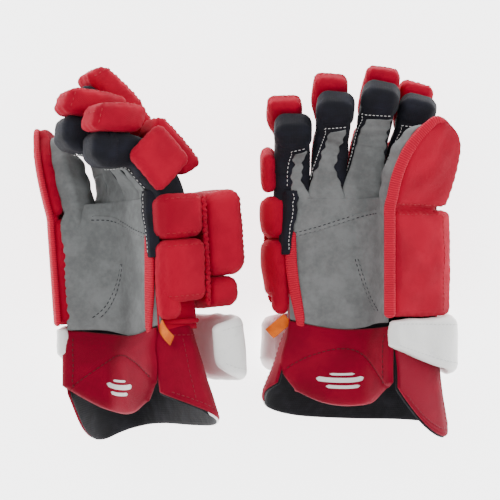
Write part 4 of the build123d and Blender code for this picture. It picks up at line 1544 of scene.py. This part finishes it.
def trims(glove):
    """The orange tag at the little-finger edge, the piping round the wrist and the gathered back seam."""
    low, _ = glove.span("palm")
    root, way = np.array([low[0] - 6.0, 6.0, -1.0]), np.array([-17.0, -14.5, -2.0])
    across = np.array([7.5, -8.0, 0.5])
    u, v = share_grid(12, 20)
    curl = np.array([0, 0, 1.6]) * np.sin(v[..., None] * 3.0)
    grid = root + way * v[..., None] + across * u[..., None] + curl
    glove.make("side_tag", "cuff", slab(grid, 1.1), "orange tag", cut=(grid, "cuff_shell"))
    line = curve_line([(low[0] - 0.5, 5, -3), (low[0] - 4.0, 3, -22), (low[0] - 1.5, 3, -41)], 40)
    sideways = np.array([[-1.0, 0, 0]])
    glove.make("wrist_seam_piping", "hand", ribbon(line, sideways, 5.0, 4.6, sides=10), "red shell")
    ruffle = curve_line([(low[0] - 17, 16, -43), (low[0] - 22, 40, -42.5), (low[0] - 23, 116, -42.5)], 260)
    phase = np.linspace(0, 1, len(ruffle))
    ruffle[:, 0] += np.sin(phase * 2 * math.pi * 26) * 0.9
    ruffle[:, 2] += np.cos(phase * 2 * math.pi * 19) * 0.7
    glove.make("back_seam_ruffle", "hand", ribbon(ruffle, sideways, 4.6, 4.2, sides=10), "red shell")


def inserts(glove):
    """Finishes the moulded inserts, which keep their own shape."""
    plastic, _ = finished("moulded plastic")
    for node in ("back_insert", "thumb_insert"):
        mesh = FRAME["nodes"][f"{glove.side}_{node}"].data
        if not mesh.materials:
            mesh.materials.append(plastic)
        for place in range(len(mesh.materials)):
            mesh.materials[place] = plastic


# ---------------------------------------------------------------- operators


def each_glove(*builders):
    """Makes the pieces of each builder on both gloves."""
    for build in builders:
        for glove in gloves():
            build(glove)
    return {"FINISHED"}


def each_finger(*builders):
    """Makes the pieces of each builder on every finger of both gloves."""
    for build in builders:
        for glove in gloves():
            for finger in glove.fingers.values():
                build(glove, finger)
    return {"FINISHED"}


class GLOVE_OT_back(bpy.types.Operator):
    """Builds the stuffed pads on the back and the little-finger side of both hands."""

    bl_idname = "glove.back"
    bl_label = "Back and side pads"

    def execute(self, context):
        return each_glove(back_pads, side_pads)


class GLOVE_OT_hand(bpy.types.Operator):
    """Builds the hand covers and linings."""

    bl_idname = "glove.hand"
    bl_label = "Hand covers"

    def execute(self, context):
        return each_glove(hand_cover)


class GLOVE_OT_palm(bpy.types.Operator):
    """Builds the leather palms, their seams and the tape along their edge."""

    bl_idname = "glove.palm"
    bl_label = "Palms"

    def execute(self, context):
        return each_glove(palm_leather, side_gusset, little_side_tape)


class GLOVE_OT_thumb(bpy.types.Operator):
    """Builds the thumbs: two pads, the fold between them, the leather stall, the web and the ribbed tape."""

    bl_idname = "glove.thumb"
    bl_label = "Thumbs"

    def execute(self, context):
        return each_glove(thumb_root, thumb_shell, thumb_hinge, thumb_leather, thumb_web, thumb_tape)


class GLOVE_OT_stalls(bpy.types.Operator):
    """Builds the black finger stalls and their caps."""

    bl_idname = "glove.stalls"
    bl_label = "Finger stalls"

    def execute(self, context):
        return each_finger(finger_sleeves, finger_cap)


class GLOVE_OT_finger_leather(bpy.types.Operator):
    """Builds the ragged suede on the fingers and the stitches beside it."""

    bl_idname = "glove.finger_leather"
    bl_label = "Finger leather"

    def execute(self, context):
        return each_finger(finger_leather)


class GLOVE_OT_finger_rolls(bpy.types.Operator):
    """Builds the foam rolls behind the fingers."""

    bl_idname = "glove.finger_rolls"
    bl_label = "Finger rolls"

    def execute(self, context):
        return each_finger(finger_rolls)


class GLOVE_OT_cuff(bpy.types.Operator):
    """Builds the flared cuffs, the white wrist bands and the padded flaps."""

    bl_idname = "glove.cuff"
    bl_label = "Cuffs"

    def execute(self, context):
        return each_glove(cuff_walls, wrist_band, cuff_flap)


class GLOVE_OT_trims(bpy.types.Operator):
    """Adds the tags, piping and moulded inserts."""

    bl_idname = "glove.trims"
    bl_label = "Trims"

    def execute(self, context):
        return each_glove(trims, inserts)


class GLOVE_OT_stage(bpy.types.Operator):
    """Builds the pale floor, the soft lights and the camera straight above the pair."""

    bl_idname = "glove.stage"
    bl_label = "Floor, lights and camera"

    def execute(self, context):
        floor_and_lights()
        return {"FINISHED"}


def floor_and_lights():
    far = FLOOR_REACH
    mesh = bpy.data.meshes.new("floor")
    corners = [(-far, -far, 0.0), (far, -far, 0.0), (far, far, 0.0), (-far, far, 0.0)]
    mesh.from_pydata(corners, [], [(0, 1, 2, 3)])
    floor = bpy.data.objects.new("floor", mesh)
    bpy.context.collection.objects.link(floor)
    shade = Shade("pale floor")
    grain = shade.noise(shade.place(), 3.0, 2.0)
    shade.finish(shade.mix(grain, (0.93, 0.93, 0.93), (0.95, 0.95, 0.95)), 0.85, None,
                 Emission_Color=(1.0, 1.0, 1.0, 1.0), Emission_Strength=3.6)
    mesh.materials.append(shade.material)
    for name, place, size, power in LIGHTS:
        light = bpy.data.lights.new(name, "AREA")
        light.shape, light.size, light.energy = "SQUARE", size, power
        lamp = bpy.data.objects.new(name, light)
        lamp.location = place
        lamp.rotation_euler = look_along(LAMP_AIM - np.array(place))
        bpy.context.collection.objects.link(lamp)
    world = bpy.data.worlds.new("soft room")
    world.use_nodes = True
    background = world.node_tree.nodes["Background"]
    background.inputs["Color"].default_value = (1.0, 1.0, 1.0, 1.0)
    background.inputs["Strength"].default_value = 0.8
    bpy.context.scene.world = world
    camera = bpy.data.cameras.new("camera")
    camera.sensor_width = 36.0
    camera.lens = camera.sensor_width * (CAMERA_DISTANCE - GLOVE_MIDDLE) / CAMERA_FIELD
    eye = bpy.data.objects.new("camera", camera)
    eye.location = (CAMERA_CENTRE[0], CAMERA_CENTRE[1], CAMERA_DISTANCE)
    bpy.context.collection.objects.link(eye)
    bpy.context.scene.camera = eye


def look_along(way):
    """The turn that points a lamp along a direction."""
    return Vector(way).to_track_quat("-Z", "Y").to_euler()


LIGHTS = (
    ("key light", (-0.9, 1.1, 2.0), 1.6, 24.0),
    ("fill light", (1.3, 0.5, 1.6), 1.4, 11.0),
    ("front light", (0.1, -1.4, 1.5), 1.4, 9.0),
)
LAMP_AIM = np.array([0, 0, 0.05])
FLOOR_REACH = 4.0  # half the floor's side
CAMERA_DISTANCE = 1.7
CAMERA_FIELD = 0.475  # the width seen at the middle of the gloves' height
GLOVE_MIDDLE = 0.1  # the middle of the gloves' height
CAMERA_CENTRE = (0.005, 0.004)


class GLOVE_PT_panel(bpy.types.Panel):
    """Lists the sizes, the colours and every step."""

    bl_label = "Ice Hockey Gloves"
    bl_space_type = "VIEW_3D"
    bl_region_type = "UI"
    bl_category = "Gloves"

    def draw(self, context):
        for group in (context.scene.glove_sizes, context.scene.glove_colours):
            for name in group.__annotations__:
                self.layout.prop(group, name)
        for step in STEPS:
            self.layout.operator(step.bl_idname)


STEPS = (GLOVE_OT_stage, GLOVE_OT_back, GLOVE_OT_hand, GLOVE_OT_palm, GLOVE_OT_thumb, GLOVE_OT_stalls,
         GLOVE_OT_finger_leather, GLOVE_OT_finger_rolls, GLOVE_OT_cuff, GLOVE_OT_trims)
CLASSES = (GloveSizes, GloveColours, *STEPS, GLOVE_PT_panel)


def register():
    for cls in CLASSES:
        bpy.utils.register_class(cls)
    bpy.types.Scene.glove_sizes = PointerProperty(type=GloveSizes)
    bpy.types.Scene.glove_colours = PointerProperty(type=GloveColours)


def unregister():
    del bpy.types.Scene.glove_colours
    del bpy.types.Scene.glove_sizes
    for cls in reversed(CLASSES):
        bpy.utils.unregister_class(cls)


def main():
    register()
    for step in STEPS:
        group, name = step.bl_idname.split(".")
        getattr(getattr(bpy.ops, group), name)()


if __name__ == "__main__":
    main()
